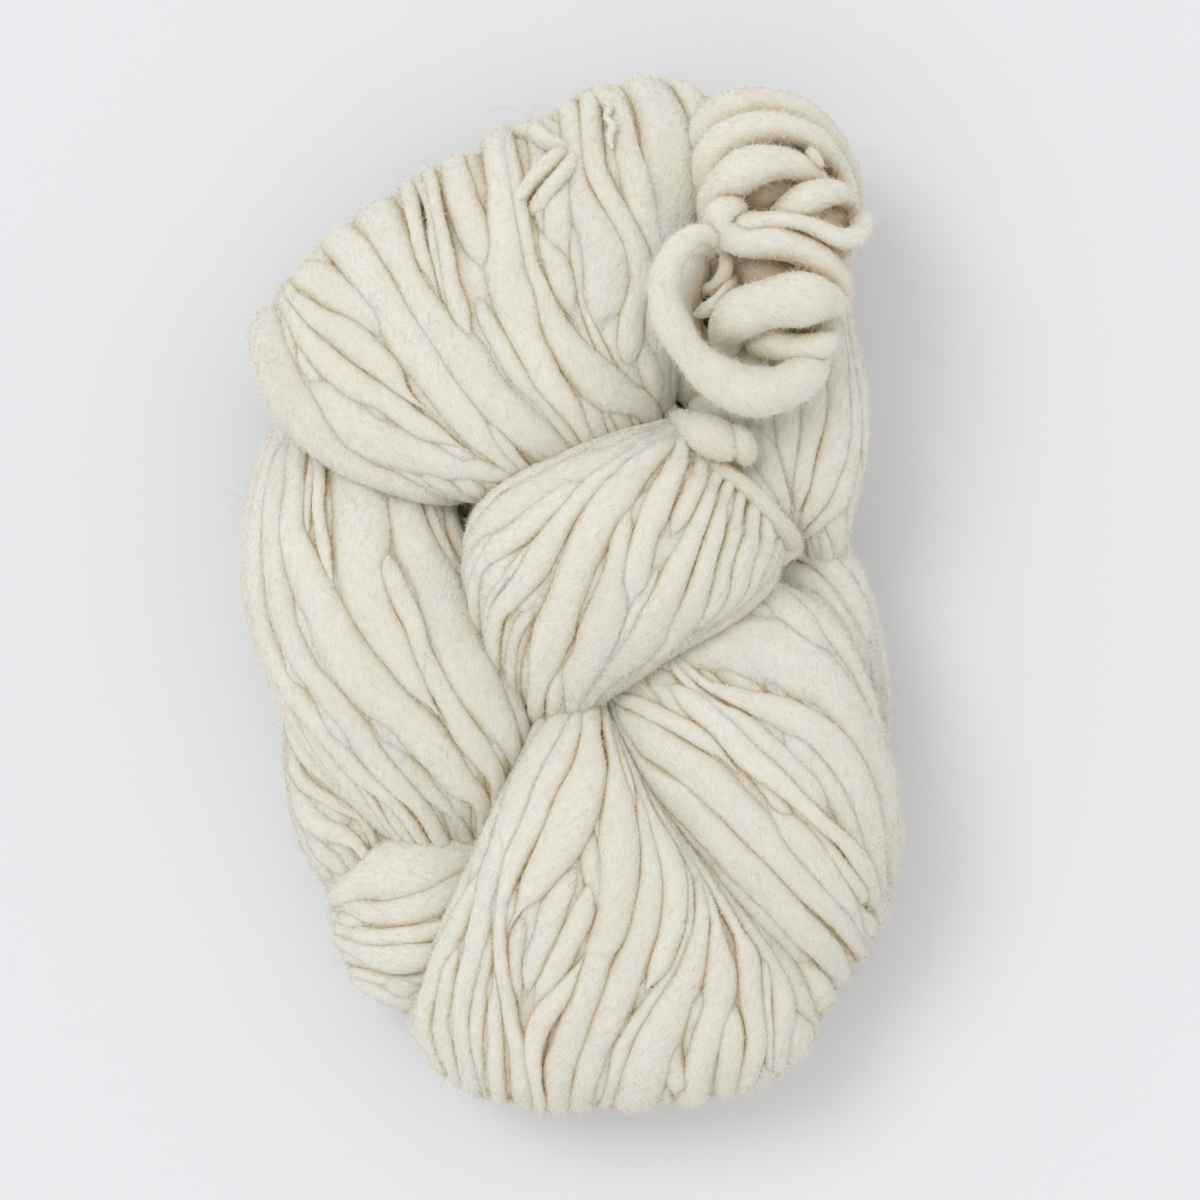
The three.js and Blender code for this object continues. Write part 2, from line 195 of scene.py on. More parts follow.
def wander(run: np.ndarray, wavelength: float, rng: np.random.Generator) -> np.ndarray:
    """A smooth random line about 0.

    Args:
        run: Distances along a strand.
        wavelength: The usual distance between two crests.
        rng: The source of chance.

    Returns:
        Values mostly between -1 and 1, one for each distance.
    """
    total = np.zeros_like(run)
    for share in (0.55, 1.0, 1.7):
        phase = rng.uniform(0, 2 * math.pi)
        stretch = rng.uniform(0.8, 1.25)
        total += np.sin(2 * math.pi * run * share * stretch / wavelength + phase)
    return total / 1.9


@dataclass(frozen=True)
class Section:
    """One section of a bundle, as a line from its left edge to its right edge seen along its run.

    left and right are (across, down, height), and outer and inner are half thicknesses in millimetres.
    """

    left: tuple[float, float, float]
    right: tuple[float, float, float]
    outer: float
    inner: float


@dataclass(frozen=True)
class Surface:
    """The smooth outside of a bundle as a grid, with rows along its run and columns across it.

    run is each row's distance along the bundle and width is the distance across it. seen is where the
    camera sees each point of the grid, in sheet units.
    """

    run: np.ndarray
    width: np.ndarray
    points: np.ndarray
    outward: np.ndarray
    seen: np.ndarray

    @classmethod
    def over(cls, run: np.ndarray, width: np.ndarray, points: np.ndarray, outward: np.ndarray) -> "Surface":
        """Makes the grid and works out where the camera sees it."""
        eye = place(IMAGE_SIZE / 2, IMAGE_SIZE / 2, 0)[:2]
        nearer = (CAMERA_HEIGHT - TRUE_HEIGHT) / (CAMERA_HEIGHT - points[:, :, 2:])
        flat = (eye + (points[:, :, :2] - eye) * nearer) / SHEET_UNIT
        seen = np.stack([SHEET_MIDDLE[0] + flat[:, :, 0], SHEET_MIDDLE[1] - flat[:, :, 1]], axis=2)
        return cls(run, width, points, outward, seen)

    def find(self, across: float, down: float) -> tuple[float, float]:
        """Finds the place on top of the bundle that is seen nearest to a point of the sheet.

        Args:
            across: Sheet units to the right.
            down: Sheet units towards the foot.

        Returns:
            The distance along the bundle, and the share of the way across it.
        """
        gaps = np.hypot(self.seen[:, :, 0] - across, self.seen[:, :, 1] - down)
        lowness = 0.35 * (self.points[:, :, 2].max() - self.points[:, :, 2]) / SHEET_UNIT
        gaps = np.where(self.outward[:, :, 2] > 0.02, gaps + lowness, np.inf)
        row, column = np.unravel_index(np.argmin(gaps), gaps.shape)
        return self.run[row], column / (gaps.shape[1] - 1)

    def read(self, grid: np.ndarray, run: np.ndarray, share: np.ndarray) -> np.ndarray:
        """Reads values of a grid between its points.

        Args:
            grid: The values, one for each point of the grid or one for each row.
            run: Distances along the bundle.
            share: Shares of the way across.

        Returns:
            One value for each distance.
        """
        if grid.ndim == 1:
            return np.interp(run, self.run, grid)
        rows = np.clip(run / self.run[-1], 0, 1) * (len(self.run) - 1)
        columns = np.clip(share, 0, 1) * (grid.shape[1] - 1)
        row = np.minimum(rows.astype(int), grid.shape[0] - 2)
        column = np.minimum(columns.astype(int), grid.shape[1] - 2)
        down, right = rows - row, columns - column
        if grid.ndim == 3:
            down, right = down[:, None], right[:, None]
        near = grid[row, column] * (1 - right) + grid[row, column + 1] * right
        far = grid[row + 1, column] * (1 - right) + grid[row + 1, column + 1] * right
        return near * (1 - down) + far * down


@dataclass(frozen=True)
class Lay:
    """A strand as it lies on its bundle: distances along it, shares across it, half widths and depths."""

    run: np.ndarray
    share: np.ndarray
    half_width: np.ndarray
    sunk: np.ndarray


@dataclass(frozen=True)
class Strand:
    """One strand as it is seen from above.

    points are (across, down, half width) in sheet units, and lift is in millimetres over its neighbours.
    """

    points: tuple[tuple[float, float, float], ...]
    ends: Ends = Ends.RUN_ON
    lift: float = 0.0

    def lay(self, surface: Surface, step: float) -> Lay:
        """Lays it on its bundle, with hidden ends that run on or sink.

        Args:
            surface: The outside of the bundle.
            step: The distance between two of its points, in metres.

        Returns:
            Where it lies.
        """
        marks = np.array([surface.find(across, down) for across, down, _ in self.points])
        half_width = np.array([point[2] for point in self.points]) * SHEET_UNIT / self._slant(surface, marks)
        rows = np.column_stack([marks, half_width])
        sinks = self.ends.value
        if marks[-1, 0] < marks[0, 0]:
            rows, sinks = rows[::-1], sinks[::-1]
        line = smooth_line(rows, np.linspace(0, 1, 12 * len(rows)))
        before = np.zeros((0, 3)) if sinks[0] else self._run_on(line, 0.0)[::-1]
        after = np.zeros((0, 3)) if sinks[1] else self._run_on(line[::-1], surface.run[-1])
        line = np.vstack([before, line, after])
        length = lengths_along(surface.read(surface.points, line[:, 0], line[:, 1]))
        even = np.linspace(0, length[-1], max(8, round(length[-1] / step)))
        run, share, wide = (np.interp(even, length, line[:, column]) for column in range(3))
        sunk = np.zeros_like(even)
        reach = np.clip(0.6 * (length[-1] - 9 * MM), 1.5 * MM, 13 * MM)
        for sinking, far in zip(sinks, (even, even[-1] - even)):
            if sinking:
                sunk = np.maximum(sunk, 1 - np.clip(far / reach, 0, 1))
        return Lay(run, share, wide, sunk * sunk * (3 - 2 * sunk))

    @staticmethod
    def _slant(surface: Surface, marks: np.ndarray) -> np.ndarray:
        """How much narrower the strand looks from above than it is, at each drawn point."""
        spots = surface.read(surface.points, marks[:, 0], marks[:, 1])
        outward = surface.read(surface.outward, marks[:, 0], marks[:, 1])
        tangent = unit(np.gradient(spots, axis=0))
        aside = unit(np.cross(tangent, outward))
        level = unit(np.stack([-tangent[:, 1], tangent[:, 0], np.zeros(len(tangent))], axis=1))
        return np.clip(np.abs(np.sum(aside * level, axis=1)), 0.75, 1)

    @staticmethod
    def _run_on(line: np.ndarray, goal: float) -> np.ndarray:
        """The hidden stretch from the first row of a line to a distance along the bundle."""
        start, further = line[0], line[min(10, len(line) - 1)]
        steps = max(2, round(abs(goal - start[0]) / (2 * MM)))
        ahead = np.linspace(0, goal - start[0], steps + 1)[1:]
        climb = (further[1] - start[1]) / (further[0] - start[0] + 1e-6)
        drift = np.clip(climb, -4, 4) * ahead * np.exp(-np.abs(ahead) / (18 * MM))
        return np.stack([start[0] + ahead, start[1] + drift, np.full(steps, start[2])], axis=1)


@dataclass
class Strands:
    """Many strands as rows of points with a section at each point.

    Each list holds one array for each strand.
    """

    centre: list[np.ndarray] = field(default_factory=list)
    outward: list[np.ndarray] = field(default_factory=list)
    half_width: list[np.ndarray] = field(default_factory=list)
    half_height: list[np.ndarray] = field(default_factory=list)

    def add(self, *rows: np.ndarray) -> None:
        """Adds one strand by its centre, outward, half_width and half_height rows."""
        for kept, row in zip((self.centre, self.outward, self.half_width, self.half_height), rows):
            kept.append(row)

    def visible(self, skin: BVHTree, depth: float, margin: int) -> "Strands":
        """Keeps the stretches that lie near the outside of the hank.

        Args:
            skin: The outside of the plain hank.
            depth: How far under the skin the top of a strand may be, in metres.
            margin: The points that are kept past each end of a stretch.

        Returns:
            The stretches, each with closed ends.
        """
        kept = Strands()
        for centre, outward, wide, high in zip(self.centre, self.outward, self.half_width, self.half_height):
            gaps = np.array([skin.find_nearest(Vector(point))[3] for point in centre])
            near = gaps < high + depth
            near = np.convolve(near, np.ones(2 * margin + 1), mode="same") > 0
            edges = np.flatnonzero(np.diff(np.concatenate([[0], near.astype(int), [0]])))
            for first, last in zip(edges[::2], edges[1::2]):
                if last - first < 6:
                    continue
                part = slice(first, last)
                steps = np.minimum(np.arange(last - first), np.arange(last - first)[::-1])
                taper = np.sqrt(np.clip((steps + 0.15) / 3.0, 0, 1))
                kept.add(centre[part], outward[part], wide[part] * taper, high[part] * taper)
        return kept


@dataclass(frozen=True)
class YarnSweep:
    """Geometry Nodes that sweep a soft section along each strand.

    sides is the points round a strand, boxiness is under 1 for a squarer section, and lumps is how far the
    surface swells and sinks, in metres.
    """

    sides: int = 12
    boxiness: float = 0.92
    lumps: float = 0.8 * MM
    lump_size: float = 8 * MM
    twist_length: float = 34 * MM

    def build(self, name: str, strands: Strands, finish: bpy.types.Material, seed: int) -> bpy.types.Object:
        """Makes the strands one mesh.

        Args:
            name: The piece's name.
            strands: The strands' rows of points.
            finish: The yarn's material.
            seed: The seed of the strands' tones.

        Returns:
            The finished piece.
        """
        routes = self._routes(name, strands, seed)
        tree = self._tree()
        values = {
            "Sides": self.sides,
            "Boxiness": self.boxiness,
            "Lumps": self.lumps,
            "Lump Size": self.lump_size,
            "Finish": finish,
        }
        return grow(routes, tree, values)

    def _routes(self, name: str, strands: Strands, seed: int) -> bpy.types.Object:
        """The strands' centre lines as an object of edges that carries each point's section."""
        rng = np.random.default_rng(seed)
        outward, aside, along, run, turn, tone = [], [], [], [], [], []
        edges = []
        start = 0
        for line, out in zip(strands.centre, strands.outward):
            tangent = unit(np.gradient(line, axis=0))
            out = unit(out - tangent * np.sum(out * tangent, axis=1, keepdims=True))
            distance = lengths_along(line)
            outward.append(out)
            aside.append(np.cross(tangent, out))
            along.append(tangent)
            run.append(distance + rng.uniform(0, 5))
            turn.append(rng.uniform(0, 6) + 2 * math.pi * distance / self.twist_length)
            tone.append(np.full(len(line), rng.uniform(0, 1)))
            steps = np.arange(start, start + len(line) - 1)
            edges.append(np.stack([steps, steps + 1], axis=1))
            start += len(line)
        mesh = bpy.data.meshes.new(name)
        mesh.from_pydata(np.vstack(strands.centre).tolist(), np.vstack(edges).tolist(), [])
        values = {
            "centre": strands.centre,
            "outward": outward,
            "aside": aside,
            "along": along,
            "half_width": strands.half_width,
            "half_height": strands.half_height,
            "run": run,
            "turn": turn,
            "tone": tone,
        }
        for key, rows in values.items():
            store_values(mesh, key, np.concatenate(rows))
        return add_object(name, mesh)

    def _tree(self) -> bpy.types.NodeTree:
        """The node tree that sweeps the section."""
        kit = NodeKit.geometry("yarn_sweep", [
            ("Sides", "NodeSocketInt"),
            ("Boxiness", "NodeSocketFloat"),
            ("Lumps", "NodeSocketFloat"),
            ("Lump Size", "NodeSocketFloat"),
            ("Finish", "NodeSocketMaterial"),
        ])
        line = kit.add("GeometryNodeMeshToCurve", Mesh=kit.given["Geometry"])
        circle = kit.add("GeometryNodeCurvePrimitiveCircle", Resolution=kit.given["Sides"], Radius=1.0)
        spot = kit.add("ShaderNodeSeparateXYZ", Vector=kit.add("GeometryNodeInputPosition").outputs[0])
        boxed = [self._boxed(kit, spot.outputs[axis]) for axis in ("X", "Y")]
        section = kit.add("ShaderNodeCombineXYZ", X=boxed[0], Y=boxed[1])
        profile = kit.store(circle.outputs["Curve"], "section", "FLOAT_VECTOR", section.outputs[0])
        tube = kit.add("GeometryNodeCurveToMesh", Curve=line.outputs["Curve"])
        kit.feed(profile, tube.inputs["Profile Curve"])
        kit.feed(True, tube.inputs["Fill Caps"])
        parts = kit.add("ShaderNodeSeparateXYZ", Vector=kit.named("section", "FLOAT_VECTOR"))
        out_part, side_part = parts.outputs["X"], parts.outputs["Y"]
        upward = kit.scaled(kit.named("outward", "FLOAT_VECTOR"), out_part)
        sideways = kit.scaled(kit.named("aside", "FLOAT_VECTOR"), side_part)
        high = kit.scaled(upward, kit.named("half_height", "FLOAT"))
        wide = kit.scaled(sideways, kit.named("half_width", "FLOAT"))
        spots = kit.vector("ADD", kit.vector("ADD", kit.named("centre", "FLOAT_VECTOR"), high), wide)
        lump_scale = kit.math("DIVIDE", 1.0, kit.given["Lump Size"])
        noise = kit.add("ShaderNodeTexNoise", Vector=spots, Scale=lump_scale, Detail=2.0)
        swell = kit.math("MULTIPLY", kit.math("SUBTRACT", noise.outputs[0], 0.5), kit.given["Lumps"])
        spots = kit.vector("ADD", spots, kit.scaled(kit.vector("ADD", upward, sideways), swell))
        split = kit.add("ShaderNodeSeparateXYZ", Vector=spots)
        floor_height = kit.math("MAXIMUM", split.outputs["Z"], 0.1 * MM)
        rested = kit.add("ShaderNodeCombineXYZ", X=split.outputs["X"], Y=split.outputs["Y"], Z=floor_height)
        laid = kit.add("GeometryNodeSetPosition", Geometry=tube.outputs["Mesh"], Position=rested.outputs[0])
        turn = kit.named("turn", "FLOAT")
        cosine, sine = kit.math("COSINE", turn), kit.math("SINE", turn)
        wide_part = kit.math("MULTIPLY", side_part, kit.named("half_width", "FLOAT"))
        high_part = kit.math("MULTIPLY", out_part, kit.named("half_height", "FLOAT"))
        across = kit.math(
            "SUBTRACT", kit.math("MULTIPLY", wide_part, cosine), kit.math("MULTIPLY", high_part, sine)
        )
        through = kit.math(
            "ADD", kit.math("MULTIPLY", wide_part, sine), kit.math("MULTIPLY", high_part, cosine)
        )
        fibre = kit.add("ShaderNodeCombineXYZ", X=kit.named("run", "FLOAT"), Y=across, Z=through)
        marked = kit.store(laid.outputs[0], "fibre", "FLOAT_VECTOR", fibre.outputs[0])
        for spent in ("centre", "aside", "outward", "section", "half_width", "half_height", "run", "turn"):
            marked = kit.add("GeometryNodeRemoveAttribute", Geometry=marked, Name=spent).outputs[0]
        soft = kit.add("GeometryNodeSetShadeSmooth", Geometry=marked)
        return kit.close(soft.outputs[0])

    @staticmethod
    def _boxed(kit: "NodeKit", value: bpy.types.NodeSocket) -> bpy.types.NodeSocket:
        """The value with its size raised to the boxiness and its sign kept."""
        size = kit.math("POWER", kit.math("ABSOLUTE", value), kit.given["Boxiness"])
        return kit.math("MULTIPLY", kit.math("SIGN", value), size)


class NodeKit:
    """A node tree under construction."""

    def __init__(self, tree: bpy.types.NodeTree) -> None:
        """Starts on an existing tree."""
        self.tree = tree
        self.given: dict[str, bpy.types.NodeSocket] = {}

    @classmethod
    def geometry(cls, name: str, sockets: list[tuple[str, str]]) -> "NodeKit":
        """A new geometry tree.

        Args:
            name: The tree's name.
            sockets: The name and type of each input after the geometry.
        """
        tree = bpy.data.node_groups.new(name, "GeometryNodeTree")
        tree.interface.new_socket("Geometry", in_out="INPUT", socket_type="NodeSocketGeometry")
        for label, kind in sockets:
            tree.interface.new_socket(label, in_out="INPUT", socket_type=kind)
        tree.interface.new_socket("Geometry", in_out="OUTPUT", socket_type="NodeSocketGeometry")
        kit = cls(tree)
        entry = kit.add("NodeGroupInput")
        kit.given = {socket.name: socket for socket in entry.outputs if socket.name}
        return kit

    def add(self, kind: str, settings: dict[str, object] | None = None, **values: object) -> bpy.types.Node:
        """Adds a node.

        Args:
            kind: The node's type.
            settings: Its properties.
            values: What goes into its inputs, with _ for a space in an input's name.

        Returns:
            The node.
        """
        node = self.tree.nodes.new(kind)
        for key, value in (settings or {}).items():
            setattr(node, key, value)
        for key, value in values.items():
            self.feed(value, node.inputs[key.replace("_", " ")])
        return node

    def feed(self, value: object, socket: bpy.types.NodeSocket) -> None:
        """Links an output to a socket, or sets the socket's value."""
        if isinstance(value, bpy.types.NodeSocket):
            self.tree.links.new(value, socket)
        else:
            socket.default_value = value

    def math(self, operation: str, *values: object) -> bpy.types.NodeSocket:
        """One sum on numbers."""
        node = self.add("ShaderNodeMath", {"operation": operation})
        for socket, value in zip(node.inputs, values):
            self.feed(value, socket)
        return node.outputs[0]

    def vector(self, operation: str, *values: object) -> bpy.types.NodeSocket:
        """One sum on vectors."""
        node = self.add("ShaderNodeVectorMath", {"operation": operation})
        for socket, value in zip(node.inputs, values):
            self.feed(value, socket)
        return node.outputs[0]

    def scaled(self, value: object, factor: object) -> bpy.types.NodeSocket:
        """A vector times a number."""
        node = self.add("ShaderNodeVectorMath", {"operation": "SCALE"})
        self.feed(value, node.inputs[0])
        self.feed(factor, node.inputs["Scale"])
        return node.outputs[0]

    def named(self, name: str, kind: str) -> bpy.types.NodeSocket:
        """A named attribute of the geometry."""
        node = self.add("GeometryNodeInputNamedAttribute", {"data_type": kind}, Name=name)
        return node.outputs["Attribute"]

    def painted(self, name: str, output: str) -> bpy.types.NodeSocket:
        """A named attribute in a material."""
        return self.add("ShaderNodeAttribute", {"attribute_name": name}).outputs[output]

    def greater(self, value: object, limit: float) -> bpy.types.NodeSocket:
        """Whether a number is over a limit."""
        node = self.add("FunctionNodeCompare", {"data_type": "FLOAT", "operation": "GREATER_THAN"})
        self.feed(value, node.inputs["A"])
        self.feed(limit, node.inputs["B"])
        return node.outputs[0]

    def level(self, value: object, low: float, high: float, way: str) -> bpy.types.NodeSocket:
        """A value's place between two others, from 0 to 1."""
        node = self.add("ShaderNodeMapRange", {"interpolation_type": way}, Value=value)
        self.feed(low, node.inputs["From Min"])
        self.feed(high, node.inputs["From Max"])
        return node.outputs[0]

    def mix(self, share: object, first: object, second: object) -> bpy.types.NodeSocket:
        """A mix of two colours."""
        node = self.add("ShaderNodeMix", {"data_type": "RGBA"})
        sockets = [socket for socket in node.inputs if socket.enabled]
        for socket, value in zip(sockets, (share, first, second)):
            self.feed(value, socket)
        return next(socket for socket in node.outputs if socket.enabled)

    def noise(self, spot: object, size: float, **values: float) -> bpy.types.NodeSocket:
        """A noise whose patches are of a size in metres."""
        return self.add("ShaderNodeTexNoise", Vector=spot, Scale=1 / size, **values).outputs[0]

    def store(self, geometry: object, name: str, kind: str, value: object) -> bpy.types.NodeSocket:
        """Stores a named attribute on the geometry's points."""
        node = self.add("GeometryNodeStoreNamedAttribute", {"data_type": kind, "domain": "POINT"}, Name=name)
        self.feed(geometry, node.inputs["Geometry"])
        self.feed(value, node.inputs["Value"])
        return node.outputs[0]

    def close(self, geometry: bpy.types.NodeSocket) -> bpy.types.NodeTree:
        """Ends a geometry tree with its instances made real and its material set."""
        real = self.add("GeometryNodeRealizeInstances", Geometry=geometry)
        dressed = self.add("GeometryNodeSetMaterial", Geometry=real.outputs[0])
        self.feed(self.given["Finish"], dressed.inputs["Material"])
        way_out = self.add("NodeGroupOutput")
        self.feed(dressed.outputs[0], way_out.inputs[0])
        return self.tree


def grow(source: bpy.types.Object, tree: bpy.types.NodeTree, values: dict[str, object]) -> bpy.types.Object:
    """Runs a geometry tree on an object and keeps the result as its plain mesh.

    Args:
        source: The object.
        tree: The node tree.
        values: The tree's inputs by name.

    Returns:
        The same object with its new mesh.
    """
    modifier = source.modifiers.new("grow", "NODES")
    modifier.node_group = tree
    for item in tree.interface.items_tree:
        if item.item_type == "SOCKET" and item.in_out == "INPUT" and item.name in values:
            modifier[item.identifier] = values[item.name]
    graph = bpy.context.evaluated_depsgraph_get()
    old = source.data
    made = bpy.data.meshes.new_from_object(source.evaluated_get(graph), depsgraph=graph)
    source.modifiers.remove(modifier)
    source.data = made
    made.name = source.name
    bpy.data.meshes.remove(old)
    return source


@dataclass(frozen=True)
class Openness:
    """How open each point of the yarn is to the air, found with rays.

    near is how close a neighbour shades a point, and far is how far a ray goes to show that the point is on
    the outside of the hank, in metres.
    """

    near: float = 6 * MM
    far: float = 60 * MM
    rays: int = 12

    def mark(self, pieces: list[bpy.types.Object]) -> None:
        """Stores each point's openness and its share of rays that get away, from 0 to 1."""
        meshes = [piece.data for piece in pieces]
        corners = [read_vectors(mesh.vertices, "co") for mesh in meshes]
        normals = [read_vectors(mesh.vertex_normals, "vector") for mesh in meshes]
        faces = []
        start = 0
        for mesh in meshes:
            faces += [[start + corner for corner in face.vertices] for face in mesh.polygons]
            start += len(mesh.vertices)
        tree = BVHTree.FromPolygons(np.vstack(corners).tolist(), faces)
        for mesh, spots, outward in zip(meshes, corners, normals):
            values = self._measure(tree, spots + outward * 0.25 * MM, outward)
            # open also sets where the loose fibres take their painted shade in the creases.
            for name, row in zip(("open", "outside"), values):
                store_values(mesh, name, row)

    def _measure(self, tree: BVHTree, spots: np.ndarray, outward: np.ndarray) -> np.ndarray:
        """The two measures of each spot, as two rows."""
        helper = np.where(np.abs(outward[:, 2:]) < 0.9, [[0.0, 0.0, 1.0]], [[1.0, 0.0, 0.0]])
        first = unit(np.cross(helper, outward))
        second = np.cross(outward, first)
        shaded = np.zeros((2, len(spots)))
        for ray in range(self.rays):
            turn = 2.4 * ray
            lean = math.sqrt((ray + 0.5) / self.rays)
            aim = outward * math.sqrt(1 - lean * lean * 0.92)
            aim = aim + first * (lean * math.cos(turn)) + second * (lean * math.sin(turn))
            for spot, (origin, direction) in enumerate(zip(spots.tolist(), aim.tolist())):
                distance = tree.ray_cast(origin, direction, self.far)[3]
                if distance is not None:
                    shaded[0, spot] += max(0.0, 1 - distance / self.near)
                    shaded[1, spot] += 1
        return 1 - shaded / self.rays


@dataclass(frozen=True)
class Nap:
    """Geometry Nodes that scatter the short fibres that make the wool soft.

    Each fibre is one thin triangle. density is fibres to a square metre, and length and width are in metres.
    lift is the most that a fibre rises off the surface, stray the most that it turns off its strand's
    direction and roll the most that it turns about itself, in radians. Fibres stand only where at least
    showing of the rays get away, and only higher than their length, so that none goes through the floor.
    """

    density: float = 3500000.0
    length: float = 2.8 * MM
    width: float = 0.17 * MM
    lift: float = 1.1
    stray: float = 1.3
    roll: float = 0.9
    showing: float = 0.25

    def build(
        self, name: str, yarn: bpy.types.Object, finish: bpy.types.Material, seed: int
    ) -> bpy.types.Object:
        """Makes one piece of fibres.

        Args:
            name: The piece's name.
            yarn: The piece that the fibres stand on.
            finish: The fibres' material.
            seed: The seed of the scatter.

        Returns:
            The finished piece.
        """
        nap = add_object(name, yarn.data.copy())
        values = {
            "Density": self.density,
            "Length": self.length,
            "Width": self.width,
            "Lift": self.lift,
            "Stray": self.stray,
            "Roll": self.roll,
            "Seed": seed,
            "Finish": finish,
        }
        return grow(nap, self._tree(), values)

    def _tree(self) -> bpy.types.NodeTree:
        """The node tree that scatters the fibres."""
        kit = NodeKit.geometry("wool_nap", [
            ("Density", "NodeSocketFloat"),
            ("Length", "NodeSocketFloat"),
            ("Width", "NodeSocketFloat"),
            ("Lift", "NodeSocketFloat"),
            ("Stray", "NodeSocketFloat"),
            ("Roll", "NodeSocketFloat"),
            ("Seed", "NodeSocketInt"),
            ("Finish", "NodeSocketMaterial"),
        ])
        spot = kit.add("ShaderNodeSeparateXYZ", Vector=kit.add("GeometryNodeInputPosition").outputs[0])
        both = kit.add("FunctionNodeBooleanMath", {"operation": "AND"})
        kit.feed(kit.greater(kit.named("outside", "FLOAT"), self.showing), both.inputs[0])
        kit.feed(kit.greater(spot.outputs["Z"], self.length), both.inputs[1])
        scatter = kit.add("GeometryNodeDistributePointsOnFaces", Mesh=kit.given["Geometry"])
        kit.feed(kit.given["Seed"], scatter.inputs["Seed"])
        kit.feed(kit.given["Density"], scatter.inputs["Density"])
        kit.feed(both.outputs[0], scatter.inputs["Selection"])
        seeds = [kit.math("ADD", kit.given["Seed"], float(step)) for step in range(5)]
        raised = kit.math("POWER", self._chance(kit, seeds[0], 0.15, 1.0), 2.0)
        lift = kit.math("MULTIPLY", raised, kit.math("MULTIPLY", kit.given["Lift"], -1.0))
        turned_back = kit.math("MULTIPLY", kit.math("ROUND", self._chance(kit, seeds[1], 0.0, 1.0)), math.pi)
        swing = kit.math("MULTIPLY", self._chance(kit, seeds[2], -1.0, 1.0), kit.given["Stray"])
        roll = kit.math("MULTIPLY", self._chance(kit, seeds[3], -1.0, 1.0), kit.given["Roll"])
        level = kit.add("FunctionNodeAlignRotationToVector", {"axis": "Z"}, Vector=scatter.outputs["Normal"])
        laid = kit.add("FunctionNodeAlignRotationToVector", {"axis": "X", "pivot_axis": "Z"})
        kit.feed(level.outputs[0], laid.inputs["Rotation"])
        kit.feed(kit.named("along", "FLOAT_VECTOR"), laid.inputs["Vector"])
        angles = kit.add("ShaderNodeCombineXYZ", X=roll, Y=lift, Z=kit.math("ADD", swing, turned_back))
        change = kit.add("FunctionNodeEulerToRotation", Euler=angles.outputs[0])
        turned = kit.add("FunctionNodeRotateRotation", {"rotation_space": "LOCAL"}, Rotation=laid.outputs[0])
        kit.feed(change.outputs[0], turned.inputs["Rotate By"])
        blade = kit.add("GeometryNodeMeshCircle", {"fill_type": "NGON"}, Vertices=3, Radius=1.0)
        long = kit.math("MULTIPLY", self._chance(kit, seeds[4], 0.3, 1.0), kit.given["Length"])
        wide = kit.math("MULTIPLY", kit.given["Width"], 0.58)
        size = kit.add("ShaderNodeCombineXYZ", X=long, Y=wide, Z=1.0)
        planted = kit.add("GeometryNodeInstanceOnPoints", Points=scatter.outputs["Points"])
        kit.feed(size.outputs[0], planted.inputs["Scale"])
        kit.feed(blade.outputs["Mesh"], planted.inputs["Instance"])
        kit.feed(turned.outputs[0], planted.inputs["Rotation"])
        return kit.close(planted.outputs[0])

    @staticmethod
    def _chance(kit: NodeKit, seed: object, low: float, high: float) -> bpy.types.NodeSocket:
        """A random number for each fibre."""
        node = kit.add("FunctionNodeRandomValue", {"data_type": "FLOAT"})
        sockets = [socket for socket in node.inputs if socket.enabled]
        kit.feed(low, sockets[0])
        kit.feed(high, sockets[1])
        kit.feed(seed, node.inputs["Seed"])
        return next(socket for socket in node.outputs if socket.enabled)


